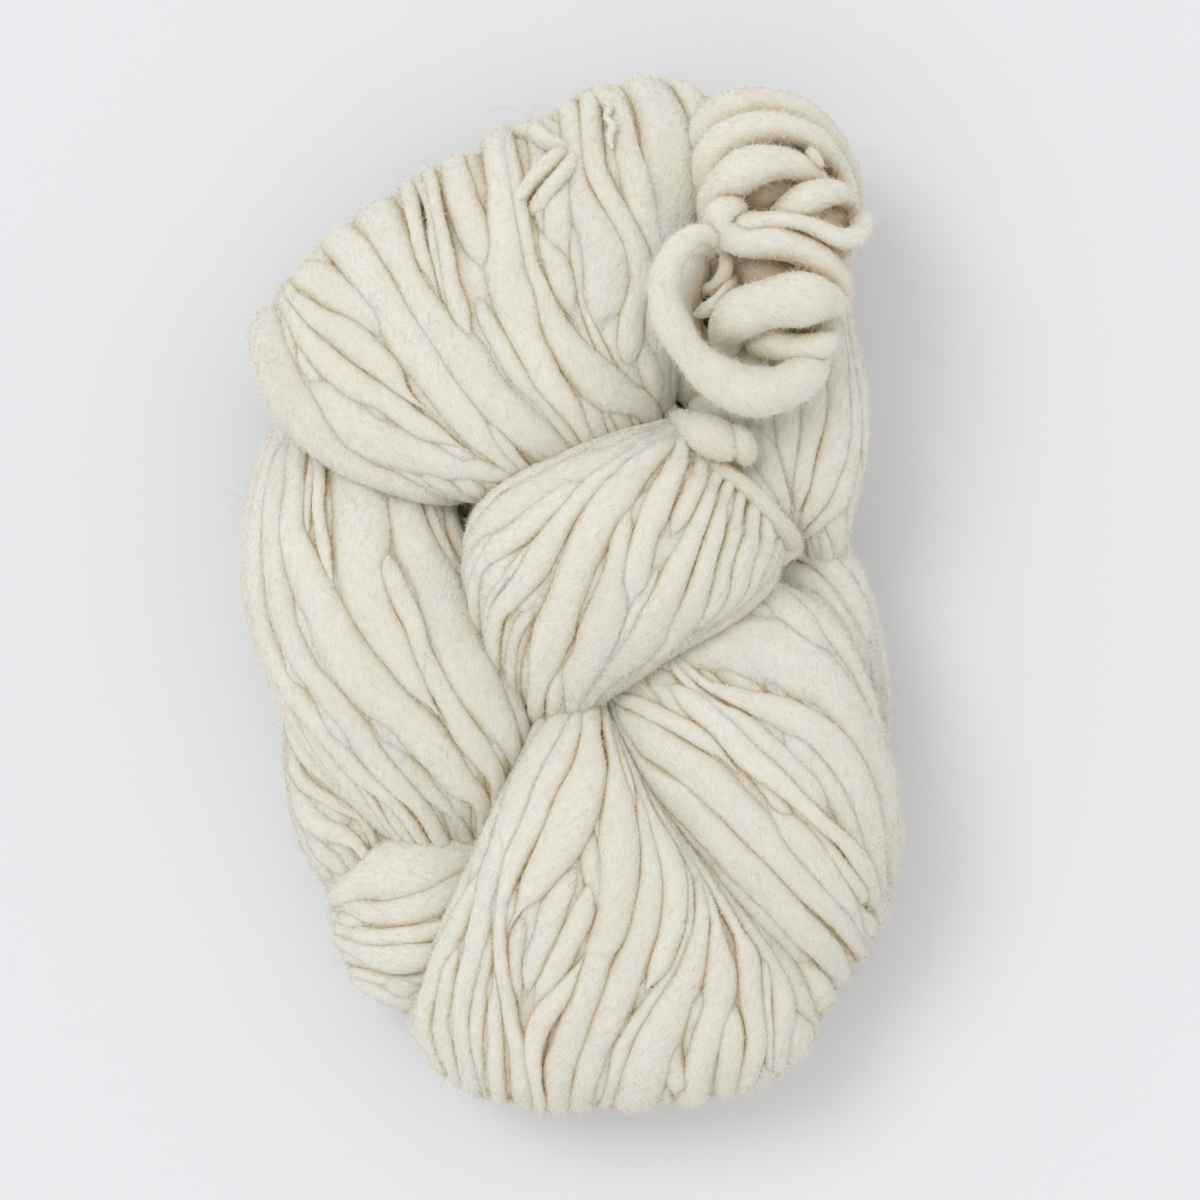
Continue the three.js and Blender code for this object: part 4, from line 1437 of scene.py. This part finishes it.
LEFT_STRANDS = (
    strand(RUN_ON, 0, 262, 470, 11, 253, 520, 11, 248, 560, 12, 250, 600, 12, 256, 632, 12, 268, 660, 12,
        285, 688, 12, 305, 715, 11, 330, 745, 11, 355, 772, 11, 380, 795, 9, 400, 812, 6),
    strand(RUN_ON, 0.2, 274, 465, 11, 269, 520, 11, 269, 560, 12, 275, 600, 12, 283, 630, 12,
        300, 662, 13, 322, 692, 13, 345, 722, 13, 370, 755, 13, 395, 785, 12, 418, 808, 8),
    strand(RUN_ON, 0, 292, 450, 10, 289, 490, 11, 288, 525, 13, 296, 560, 17, 311, 592, 20, 324, 618, 22,
        340, 645, 24, 360, 670, 25, 384, 697, 24, 414, 727, 22, 443, 760, 19, 463, 783, 15, 480, 800, 9),
    strand(FIRST, -0.8, 352, 705, 4, 368, 728, 6, 388, 750, 8, 410, 775, 11, 432, 797, 11, 450, 812, 7),
    strand(LAST, -0.3, 306, 485, 4, 304, 515, 4, 303, 535, 4, 306, 560, 3),
    strand(LAST, 0.2, 317, 450, 6, 317, 480, 6, 317, 505, 6, 318, 530, 6, 323, 555, 6, 330, 580, 4,
        337, 600, 3),
    strand(LAST, 0.2, 352, 465, 24, 355, 500, 28, 358, 540, 28, 362, 580, 25, 375, 615, 21, 393, 645, 18,
        410, 675, 13, 426, 700, 8, 443, 722, 4),
    strand(FIRST, 0.3, 374, 530, 6, 384, 562, 10, 398, 592, 11, 412, 622, 10, 423, 650, 9, 436, 680, 10,
        450, 708, 10, 467, 735, 12, 485, 758, 12, 500, 778, 8),
    strand(RUN_ON, 0, 395, 470, 14, 403, 500, 18, 412, 530, 20, 424, 560, 24, 440, 592, 28, 455, 625, 30,
        468, 658, 28, 483, 690, 26, 500, 720, 20, 513, 745, 12, 522, 760, 6),
    strand(RUN_ON, -0.3, 422, 478, 5, 432, 505, 5, 442, 530, 6, 452, 552, 6, 465, 575, 6, 478, 600, 6,
        490, 628, 7, 503, 655, 8, 515, 685, 9, 526, 712, 9, 533, 735, 6),
    strand(RUN_ON, 0.3, 440, 485, 9, 452, 510, 10, 463, 540, 10, 473, 565, 9, 487, 592, 8, 502, 620, 9,
        517, 645, 10, 529, 670, 10, 538, 697, 8, 541, 718, 5),
)

FOOT_STRANDS = (
    strand(RUN_ON, 0.1, 478, 878, 6, 462, 905, 9, 447, 935, 10, 432, 965, 10, 423, 995, 9, 417, 1022, 10,
        422, 1050, 9),
    strand(FIRST, 0, 462, 932, 4, 452, 955, 6, 444, 985, 8, 439, 1015, 8, 441, 1045, 8, 450, 1072, 8),
    strand(RUN_ON, 0.2, 558, 722, 12, 535, 752, 14, 519, 783, 14, 508, 815, 13, 496, 848, 12,
        485, 880, 12, 480, 915, 10, 472, 950, 10, 465, 985, 10, 460, 1015, 9, 461, 1045, 9, 468, 1080, 9),
    strand(FIRST, -0.2, 490, 905, 5, 486, 935, 7, 481, 965, 8, 478, 985, 8, 475, 1015, 8, 474, 1045, 8,
        478, 1085, 8),
    strand(FIRST, 0.1, 491, 962, 4, 493, 990, 6, 494, 1020, 7, 494, 1050, 8, 495, 1090, 8),
    strand(RUN_ON, 0.2, 575, 722, 10, 560, 755, 14, 543, 790, 13, 530, 822, 13, 515, 855, 11, 506, 882, 8,
        500, 910, 6, 498, 940, 5.5, 501, 970, 6, 506, 1000, 7, 511, 1030, 8, 518, 1060, 11,
        524, 1092, 13),
    strand(LAST, 0.4, 592, 735, 9, 590, 765, 16, 578, 800, 22, 567, 832, 22, 548, 862, 19, 532, 888, 14,
        518, 910, 8, 508, 930, 4),
    strand(BOTH, -1, 540, 893, 5, 526, 918, 9, 516, 945, 10, 513, 970, 8, 517, 998, 6, 521, 1025, 3),
    strand(BOTH, -0.3, 590, 850, 8, 573, 872, 11, 558, 900, 13, 546, 930, 13, 534, 960, 12, 527, 988, 9,
        523, 1015, 5),
    strand(BOTH, -0.2, 597, 868, 6, 589, 890, 10, 580, 920, 12, 567, 950, 12, 551, 980, 11, 539, 1003, 8,
        529, 1025, 4),
    strand(RUN_ON, 0.3, 617, 765, 5, 620, 795, 13, 620, 830, 18, 620, 865, 20, 618, 895, 19, 611, 925, 17,
        601, 955, 15, 590, 985, 14, 579, 1015, 15, 570, 1045, 15, 560, 1075, 15, 556, 1105, 14),
    strand(FIRST, 0.6, 585, 955, 4, 573, 978, 8, 555, 1003, 11, 540, 1030, 11, 532, 1058, 8,
        535, 1085, 6),
    strand(RUN_ON, 0, 643, 795, 4, 648, 820, 7, 651, 850, 9, 653, 880, 11, 649, 912, 14, 640, 942, 17,
        629, 972, 19, 617, 1002, 19, 606, 1032, 17, 594, 1062, 15, 584, 1095, 14),
    strand(LAST, 0.2, 652, 812, 4, 664, 838, 8, 675, 865, 12, 678, 893, 12, 674, 922, 12, 666, 950, 11,
        653, 978, 10, 640, 1002, 8),
    strand(RUN_ON, -0.8, 692, 880, 4, 692, 905, 4, 688, 932, 4, 680, 957, 5, 664, 985, 6, 650, 1010, 7,
        637, 1032, 8, 624, 1055, 8, 615, 1080, 7, 607, 1105, 7),
    strand(RUN_ON, 0.3, 703, 890, 5, 704, 915, 8, 700, 942, 10, 692, 970, 14, 681, 998, 18, 669, 1028, 21,
        657, 1058, 23, 645, 1090, 24),
    strand(RUN_ON, 0, 718, 925, 5, 721, 950, 11, 722, 980, 15, 720, 1010, 16, 710, 1040, 14,
        703, 1070, 14, 698, 1098, 14),
    strand(FIRST, -0.3, 730, 985, 5, 733, 1015, 9, 733, 1045, 12, 730, 1078, 13),
    strand(RUN_ON, 0.1, 742, 935, 5, 750, 955, 10, 752, 985, 11, 756, 1015, 10, 759, 1045, 10,
        755, 1072, 10),
    strand(RUN_ON, -0.4, 768, 958, 3, 769, 985, 5, 771, 1010, 5, 773, 1040, 5),
    strand(RUN_ON, 0, 780, 972, 7, 787, 995, 10, 790, 1020, 11, 785, 1045, 9),
)

RIGHT_STRANDS = (
    strand(RUN_ON, 0, 660, 664, 6, 690, 655, 18, 725, 647, 32, 762, 648, 38, 798, 660, 34, 828, 680, 26,
        852, 706, 20, 872, 738, 18, 886, 775, 16, 892, 815, 14),
    strand(RUN_ON, 0.2, 712, 688, 5, 745, 698, 10, 780, 712, 15, 812, 730, 18, 838, 752, 18, 858, 782, 18,
        870, 815, 16, 876, 850, 14, 880, 890, 12),
    strand(FIRST, -0.2, 760, 718, 8, 790, 738, 16, 817, 762, 18, 838, 790, 16, 852, 820, 14,
        864, 850, 10),
    strand(LAST, -0.3, 720, 708, 5, 742, 722, 9, 768, 745, 14, 795, 772, 16, 820, 802, 12, 842, 830, 6),
    strand(FIRST, 0.8, 655, 684, 8, 675, 690, 13, 702, 708, 14, 728, 733, 13, 752, 758, 13, 778, 782, 10,
        803, 805, 8, 828, 826, 7, 850, 846, 8, 868, 870, 9, 880, 900, 9),
    strand(LAST, -0.2, 615, 700, 6, 630, 703, 7, 655, 715, 9, 685, 730, 9, 712, 748, 8, 738, 772, 4),
    strand(RUN_ON, 0.2, 612, 725, 10, 635, 738, 15, 665, 755, 18, 700, 778, 20, 728, 802, 20,
        755, 830, 18, 783, 862, 14, 810, 890, 13, 835, 915, 12, 855, 938, 9),
    strand(FIRST, 0, 755, 795, 7, 780, 818, 14, 805, 845, 17, 828, 872, 16, 845, 900, 14, 858, 925, 10),
    strand(RUN_ON, 0.2, 622, 768, 7, 645, 783, 13, 672, 803, 15, 700, 830, 15, 728, 857, 16, 757, 885, 17,
        785, 913, 16, 810, 938, 15, 832, 960, 14, 845, 985, 12),
    strand(RUN_ON, 0, 650, 800, 4, 672, 825, 7, 695, 852, 9, 718, 882, 12, 745, 908, 15, 770, 932, 15,
        790, 958, 12, 803, 985, 10, 808, 1012, 9),
)

HEEL_STRANDS = (
    strand(RUN_ON, 0.3, 500, 835, 14, 470, 840, 20, 435, 848, 26, 400, 862, 30, 372, 872, 26,
        356, 882, 16),
    strand(BOTH, 0.2, 388, 834, 5, 364, 846, 8, 349, 868, 9, 345, 893, 9, 350, 915, 6),
    strand(RUN_ON, 0.2, 480, 872, 8, 455, 888, 15, 425, 903, 17, 395, 913, 15, 368, 913, 12,
        350, 908, 10),
    strand(RUN_ON, -0.2, 455, 925, 9, 430, 933, 9, 400, 938, 9, 370, 938, 10, 352, 934, 9),
    strand(RUN_ON, 0.2, 440, 953, 10, 415, 958, 14, 388, 960, 15, 366, 955, 12, 352, 948, 8),
    strand(RUN_ON, -0.4, 427, 981, 6, 400, 985, 6, 378, 983, 6),
    strand(RUN_ON, 0, 422, 1003, 10, 402, 1008, 13, 387, 1005, 11),
)

FLANK_STRANDS = (
    strand(RUN_ON, 0.2, 287, 722, 10, 302, 745, 13, 325, 768, 13, 348, 790, 13, 372, 806, 10,
        392, 816, 6),
    strand(RUN_ON, 0, 284, 760, 9, 296, 780, 8, 315, 795, 7, 338, 807, 7, 360, 816, 5),
    strand(RUN_ON, 0.2, 290, 795, 9, 303, 815, 12, 322, 827, 13, 342, 837, 10, 355, 845, 6),
    strand(RUN_ON, 0, 300, 838, 9, 318, 855, 11, 335, 868, 9, 345, 875, 5),
    strand(RUN_ON, 0, 308, 862, 8, 322, 880, 9, 338, 897, 8),
)

SHOULDER_STRANDS = (
    strand(RUN_ON, 0, 752, 400, 12, 757, 430, 14, 760, 460, 14, 764, 490, 10, 770, 518, 5),
    strand(RUN_ON, 0.2, 787, 395, 12, 788, 430, 12, 787, 460, 11, 785, 485, 9, 781, 510, 6, 779, 530, 4),
    strand(RUN_ON, 0, 813, 370, 12, 814, 410, 14, 810, 440, 11, 806, 465, 9, 800, 490, 8, 792, 512, 6,
        785, 528, 4),
    strand(RUN_ON, 0.2, 842, 345, 10, 843, 390, 12, 842, 425, 14, 836, 455, 15, 828, 480, 14,
        815, 505, 10, 800, 525, 6, 790, 537, 4),
    strand(RUN_ON, 0, 852, 350, 8, 858, 395, 9, 858, 435, 10, 853, 470, 10, 843, 497, 9, 825, 520, 8,
        805, 535, 6, 790, 543, 4),
)

HIP_STRANDS = (
    strand(RUN_ON, 0.2, 770, 597, 6, 795, 605, 7, 822, 625, 8, 846, 651, 8, 863, 680, 7, 878, 712, 7,
        886, 745, 7),
    strand(RUN_ON, 0, 775, 568, 10, 800, 578, 18, 825, 597, 20, 845, 620, 18, 862, 648, 15, 875, 680, 12,
        885, 715, 10),
    strand(RUN_ON, 0.1, 800, 550, 5, 828, 562, 14, 848, 587, 14, 866, 617, 12, 877, 650, 10, 885, 685, 9),
)

BUNDLES = (
    Bundle(
        "crown", 22, 11, Cover.OUTSIDE,
        (
            section(548, 560, 22, 690, 480, 22, 12, 8),
            section(500, 490, 38, 668, 408, 38, 14, 8),
            section(422, 486, 50, 674, 330, 51, 17, 8),
            section(343, 459, 50, 684, 245, 52, 17, 8),
            section(294, 398, 44, 706, 155, 46, 18, 8),
            section(284, 340, 31, 714, 108, 31, 21, 8),
            section(315, 385, 15, 700, 165, 15, 17, 6),
            section(400, 450, 13, 690, 280, 13, 15, 6),
            section(500, 500, 16, 680, 400, 16, 12, 6),
        ),
        CROWN_STRANDS,
    ),
    Bundle(
        "middle", 18, 23, Cover.OUTSIDE,
        (
            section(815, 520, 30, 700, 370, 30, 12, 10),
            section(783, 545, 46, 668, 415, 48, 13, 10),
            section(768, 592, 50, 620, 432, 51, 22, 10),
            section(735, 622, 51, 560, 452, 52, 26, 10),
            section(690, 648, 51, 490, 490, 51, 25, 10),
            section(640, 675, 48, 468, 545, 48, 22, 10),
            section(606, 702, 40, 490, 630, 41, 17, 10),
            section(600, 750, 26, 545, 700, 26, 10, 8),
        ),
        MIDDLE_STRANDS,
        tucked=34 * MM,
    ),
    Bundle(
        "left_turn", 26, 35, Cover.ALL_ROUND,
        (
            section(500, 430, 24, 315, 385, 22, 14, 14),
            section(458, 486, 31, 262, 450, 26, 20, 24),
            section(482, 560, 36, 245, 535, 29, 28, 29),
            section(510, 628, 38, 250, 615, 30, 31, 30),
            section(544, 690, 37, 282, 700, 31, 29, 28),
            section(548, 745, 32, 335, 778, 30, 25, 22),
            section(512, 808, 26, 398, 836, 25, 18, 12),
            section(560, 850, 16, 480, 900, 16, 12, 8),
        ),
        LEFT_STRANDS,
    ),
    Bundle(
        "foot", 20, 47, Cover.OUTSIDE,
        (
            section(640, 640, 26, 565, 640, 26, 10, 8),
            section(610, 705, 38, 547, 705, 38, 13, 8),
            section(655, 790, 47, 497, 805, 46, 19, 9),
            section(722, 870, 48, 455, 895, 46, 20, 9),
            section(795, 950, 43, 418, 972, 40, 19, 8),
            section(822, 990, 29, 410, 1004, 29, 29, 8),
            section(795, 940, 14, 440, 945, 14, 16, 6),
            section(720, 850, 13, 500, 850, 13, 15, 6),
        ),
        FOOT_STRANDS,
    ),
    Bundle(
        "right_turn", 17, 59, Cover.OUTSIDE,
        (
            section(690, 540, 28, 560, 640, 28, 10, 8),
            section(768, 578, 40, 606, 703, 40, 15, 8),
            section(828, 612, 45, 645, 790, 47, 21, 9),
            section(858, 672, 44, 702, 870, 46, 22, 9),
            section(868, 740, 38, 762, 948, 40, 20, 9),
            section(860, 800, 26, 792, 990, 27, 16, 8),
            section(838, 800, 14, 765, 940, 14, 16, 6),
            section(770, 760, 12, 690, 840, 12, 14, 6),
        ),
        RIGHT_STRANDS,
    ),
    Bundle(
        "heel", 10, 61, Cover.OUTSIDE,
        (
            section(530, 1000, 22, 540, 790, 24, 14, 8),
            section(455, 1005, 26, 480, 818, 30, 16, 10),
            section(415, 1012, 26, 415, 826, 32, 17, 10),
            section(392, 1000, 23, 366, 848, 24, 12, 10),
            section(430, 990, 13, 400, 850, 13, 15, 6),
            section(520, 980, 12, 480, 850, 12, 14, 6),
        ),
        HEEL_STRANDS,
    ),
    Bundle(
        "flank", 15, 73, Cover.ALL_ROUND,
        (
            section(400, 620, 20, 290, 640, 18, 12, 14),
            section(400, 710, 25, 282, 712, 20, 16, 20),
            section(410, 780, 25, 286, 780, 19, 18, 21),
            section(420, 840, 23, 302, 840, 18, 17, 19),
            section(450, 900, 18, 345, 905, 16, 14, 14),
        ),
        FLANK_STRANDS,
    ),
    Bundle(
        "shoulder", 19, 85, Cover.ALL_ROUND,
        (
            section(826, 225, 30, 690, 225, 34, 16, 24),
            section(850, 330, 31, 700, 330, 38, 22, 28),
            section(862, 410, 30, 712, 410, 38, 25, 29),
            section(852, 485, 28, 738, 476, 36, 22, 26),
            section(824, 530, 23, 776, 533, 30, 16, 18),
            section(792, 575, 16, 760, 585, 18, 10, 10),
        ),
        SHOULDER_STRANDS,
    ),
    Bundle(
        "hip", 15, 97, Cover.ALL_ROUND,
        (
            section(800, 480, 18, 720, 520, 20, 12, 14),
            section(848, 545, 22, 735, 590, 26, 16, 20),
            section(876, 615, 23, 770, 640, 28, 19, 22),
            section(883, 690, 22, 800, 720, 26, 18, 21),
            section(880, 780, 18, 800, 800, 20, 15, 17),
            section(850, 880, 14, 770, 860, 14, 12, 12),
        ),
        HIP_STRANDS,
    ),
    Bundle(
        "back_turn", 13, 103, Cover.OUTSIDE,
        (
            section(640, 300, 24, 800, 400, 24, 12, 8),
            section(590, 400, 16, 745, 500, 16, 17, 8),
            section(530, 480, 14, 690, 600, 14, 16.5, 8),
            section(450, 560, 14, 610, 690, 14, 16.5, 8),
            section(380, 650, 14, 530, 780, 14, 16.5, 8),
            section(340, 740, 18, 470, 850, 18, 14, 8),
        ),
    ),
    Bundle(
        "back_cross", 11, 113, Cover.OUTSIDE,
        (
            section(700, 470, 22, 840, 560, 22, 12, 8),
            section(650, 560, 15, 825, 680, 15, 16, 8),
            section(600, 640, 14, 780, 780, 14, 16, 8),
            section(520, 720, 15, 690, 860, 15, 16, 8),
            section(450, 790, 22, 600, 930, 22, 12, 8),
        ),
    ),
)

BED_LOOPS = tuple(
    loop(716, down, 44, 4, 745, down - 6, 50, 6, 795, down - 2, 50, 6, 822, down + 6, 44, 4.5)
    for down in range(150, 390, 24)
)

END_COILS = tuple(
    loop(
        692, 234, height, 4, 714, 217, height + 1, 5, 758, 209, height + 1, 5.2,
        802, 216, height - 1, 5, 826, 234, height - 1, 4,
    )
    for height in range(9, 43, 8)
)

END_LOOPS = (
    *BED_LOOPS,
    *END_COILS,
    # Gap lining
    loop(664, 335, 42, 4, 676, 362, 45, 4.4, 690, 390, 43, 4.4, 704, 415, 36, 4),
    # Outer loop
    loop(700, 170, 42, 5, 708, 140, 49, 5.4, 729, 119, 52, 5.4, 762, 113, 52, 5, 793, 121, 51, 4.4,
        821, 138, 49, 3.6, 840, 160, 48, 2.8, 850, 182, 47, 2.3, 853, 204, 45, 2, 846, 222, 42, 2,
        flatness=1.35),
    # Second loop
    loop(705, 205, 46, 5, 710, 178, 54, 5.4, 722, 154, 59, 5.2, 745, 142, 61, 4.8, 772, 138, 61, 4.4,
        799, 144, 59, 3.8, 822, 159, 56, 3.1, 838, 178, 53, 2.5, 845, 198, 51, 2.2, 840, 215, 47, 2,
        flatness=1.4),
    # Third loop
    loop(714, 230, 52, 5, 717, 207, 61, 5.4, 732, 187, 66, 5.4, 753, 177, 68, 4.8, 778, 174, 67, 4,
        800, 181, 64, 3.2, 816, 193, 60, 2.6, 824, 206, 54, 2.4, flatness=1.4),
    # Third lining
    loop(738, 215, 55, 5, 760, 200, 58, 5, 790, 195, 57, 4.4, 815, 205, 53, 4, 832, 220, 46, 4,
        flatness=1.3),
    # Fourth loop
    loop(764, 240, 60, 2.5, 782, 224, 66, 3.9, 803, 209, 68, 4.2, 823, 203, 67, 3.6, 838, 205, 64, 2.6,
        846, 214, 58, 2, flatness=1.1),
    # Curled loop
    loop(722, 240, 66, 3, 740, 236, 70, 3, 765, 232, 71, 2.5, 790, 232, 71, 2.2, 812, 239, 70, 2.3,
        832, 248, 69, 2.4, 847, 246, 67, 2.6, 856, 235, 63, 2.6, 851, 222, 56, 2.4),
    # Broad loop
    loop(744, 229, 66, 2.6, 728, 219, 70, 3.4, 716, 228, 71, 3.8, 719, 242, 70.5, 4, 741, 251, 70, 4.2,
        768, 252, 70, 4.3, 795, 260, 69, 4.3, 818, 273, 67, 4, 833, 291, 62, 3.4, 834, 309, 54, 2.8),
    # Loop lining
    loop(735, 275, 58, 5, 762, 280, 60, 6, 792, 290, 58, 6, 815, 308, 54, 5, 820, 330, 48, 5),
    # Slub
    loop(730, 354, 54, 3, 723, 341, 63, 4.4, 731, 327, 68.5, 5.6, 752, 316, 71, 6.2, 778, 310, 72, 6.7,
        803, 308, 71, 6.4, 822, 310, 66, 5, 830, 318, 58, 3.6),
    # Slub tip
    loop(746, 338, 60, 4, 763, 348, 66, 4.4, 784, 355, 68, 4.3, 804, 355, 69, 3.8, 820, 350, 69, 3.2,
        832, 341, 67, 2.5),
    # Inner lining
    loop(735, 242, 59, 4, 770, 238, 61, 5, 810, 230, 61, 5, 842, 226, 55, 3.6),
    # Side lining
    loop(800, 268, 55, 5, 826, 264, 56, 5, 842, 244, 54, 4, 840, 222, 50, 3.6),
    # Ring
    loop(722, 262, 64, 1.8, 713, 250, 71, 2.1, 698, 246, 75, 2.4, 681, 255, 77, 3, 667, 275, 77, 3.7,
        662, 301, 76, 4.2, 669, 331, 76, 4.4, 686, 359, 75, 4.5, 707, 380, 74, 4.9, 735, 395, 73, 5.9,
        762, 398, 72, 6.1, 787, 389, 70, 5.7, 804, 371, 66, 5.1, 810, 350, 58, 4.4, 802, 330, 48, 4),
    # Ring lining
    loop(706, 262, 58, 3, 690, 285, 60, 4, 682, 318, 58, 4.4, 692, 350, 50, 5, 720, 372, 46, 6,
        760, 375, 44, 7),
    # Curl lining
    loop(716, 244, 55, 4, 705, 262, 55, 5, 699, 288, 52, 5),
    # Crown curl
    loop(509, 223, 52, 2, 519, 210, 56.4, 2.1, 527, 198, 58.2, 2.1, 538, 184, 58.4, 2.2,
        550, 172, 57, 2.2, 561, 160, 53, 2.1, 570, 149, 47, 2),
    # Crown bend
    loop(530, 229, 54, 2, 539, 215, 58.6, 2.1, 546, 202, 60, 2.1, 556, 190, 60, 2.2, 565, 179, 58, 2.2,
        573, 167, 54, 2, 580, 153, 48, 2),
    # Crown hook
    loop(537, 124, 42, 1.8, 536, 133, 46.6, 2, 542, 143, 50.6, 2.1, 554, 151, 52.4, 2.1, 568, 158, 52, 2,
        580, 166, 48.6, 1.9),
    # Crown thread
    loop(603, 105, 46.5, 0.9, 610, 114, 50.3, 1, 606, 124, 53, 1, 613, 134, 55.5, 1, 609, 145, 57, 1,
        612, 157, 58, 0.9),
    # End lid
    loop(706, 215, 44, 4, 730, 190, 46, 4, 765, 182, 46, 4, 800, 190, 46, 4, 824, 212, 44, 4),
    # Knot lining
    loop(688, 412, 42, 4, 712, 408, 46, 4.4, 736, 416, 46, 4),
    # Tie side
    loop(752, 425, 50, 4, 757, 450, 54, 4.4, 765, 478, 55.5, 4, 775, 503, 54, 3, 783, 524, 51, 2),
    # Tie lining
    loop(736, 440, 48, 4, 746, 465, 54, 4, 757, 490, 56, 3.6, 770, 515, 54, 3, 780, 535, 50, 2.4),
    # Tie slope
    loop(775, 455, 48, 4, 782, 480, 50, 4, 787, 505, 49, 3.6, 792, 530, 46, 2.8),
    # Tie edge
    loop(796, 495, 45, 3.4, 800, 512, 45, 3.6, 799, 532, 42, 3),
    # Tie foot
    loop(770, 560, 46, 3, 782, 551, 49, 3.2, 793, 546, 45, 3),
    # Small curl
    loop(713, 251, 66, 1.5, 722, 264, 66, 1.8, 722, 281, 66, 1.9, 713, 293, 64, 1.7, 701, 297, 60, 1.6,
        692, 306, 54, 1.6),
    # Small bend
    loop(733, 282, 62, 1.4, 727, 293, 66, 1.6, 717, 306, 68, 1.7, 703, 318, 67, 1.9, 691, 321, 63, 1.7),
    # Thin turn
    loop(812, 168, 58, 1.4, 806, 163, 64, 1.5, 811, 172, 66, 1.5, 815, 182, 62, 1.4),
    # Thin ends
    loop(846, 196, 52, 1.3, 850, 208, 54, 1.4, 842, 216, 54, 1.4, 838, 206, 50, 1.3),
)

LONG_HAIRS = (
    loop(300, 494, 30, 0.06, 282, 497, 30, 0.06, 262, 492, 28, 0.06, 242, 497, 24, 0.06,
        224, 490, 20, 0.05, 212, 484, 18, 0.04),
    loop(306, 478, 33, 0.06, 286, 486, 33, 0.06, 268, 482, 31, 0.05, 248, 484, 28, 0.05,
        232, 478, 25, 0.04),
    loop(520, 112, 38, 0.05, 505, 108, 38, 0.05, 492, 112, 37, 0.05, 480, 120, 36, 0.04),
)

TIE = (
    # Tie ring
    loop(668, 412, 46, 2.4, 686, 444, 58, 2.4, 713, 468, 63.5, 2.4, 741, 488, 63.5, 2.4,
        763, 510, 61.5, 2.4, 779, 529, 57, 2.6, 789, 543, 48, 2.9, 787, 549, 28, 2.8, 750, 500, 14, 3,
        700, 440, 16, 3, 668, 408, 30, 3, closed=True),
    # Tie knot
    loop(672, 419, 52, 2.2, 684, 427, 60, 3.6, 698, 435, 65, 4.6, 712, 443, 66.5, 5, 725, 450, 66, 4.6,
        734, 459, 62.5, 3.2),
    # Tie end
    loop(714, 438, 60, 2, 727, 440, 65.5, 3, 737, 447, 67, 3.4, 741, 457, 65, 3.2, 737, 466, 59.5, 2.2),
)


def main() -> None:
    """Builds the hank in its frame."""
    logging.basicConfig(level=logging.INFO, format="%(name)s: %(message)s")
    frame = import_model()
    cad_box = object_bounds()
    studio = Studio()
    studio.camera()
    studio.light()
    finishes = Finishes.make()
    solid = frame["nodes"]["hank"]
    corners = [vert.co.copy() for vert in solid.data.vertices]
    skin = BVHTree.FromPolygons(corners, [list(face.vertices) for face in solid.data.polygons])
    yarn = Yarn(BUNDLES).build(skin, finishes)
    end_sweep = YarnSweep(sides=18, boxiness=1.0, lumps=0.6 * MM)
    yarn.append(FreeStrands("end_loops", END_LOOPS, 51, 1.6 * MM, end_sweep).build(finishes.wool))
    tie_sweep = YarnSweep(sides=12, boxiness=1.0, lumps=0.4 * MM)
    tie = FreeStrands("tie_strand", TIE, 77, 1.5 * MM, tie_sweep).build(finishes.tie)
    Openness().mark([*yarn, tie])
    for seed, piece in enumerate(yarn):
        own(piece, Slot.WOOL, "hank")
        own(Nap().build(f"{piece.name}_nap", piece, finishes.fuzz, seed), Slot.WOOL, "hank")
    own(StrayHairs(LONG_HAIRS).build(yarn, finishes), Slot.WOOL, "hank")
    own(tie, Slot.TIE_WOOL, "tie")
    own(Nap().build("tie_nap", tie, finishes.fuzz, len(yarn)), Slot.TIE_WOOL, "tie")
    Heart().build(solid, finishes)
    boxes = {"cad": cad_box, "visual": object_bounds()}
    {name: [list(corner) for corner in box] for name, box in boxes.items()}


if __name__ == "__main__":
    main()
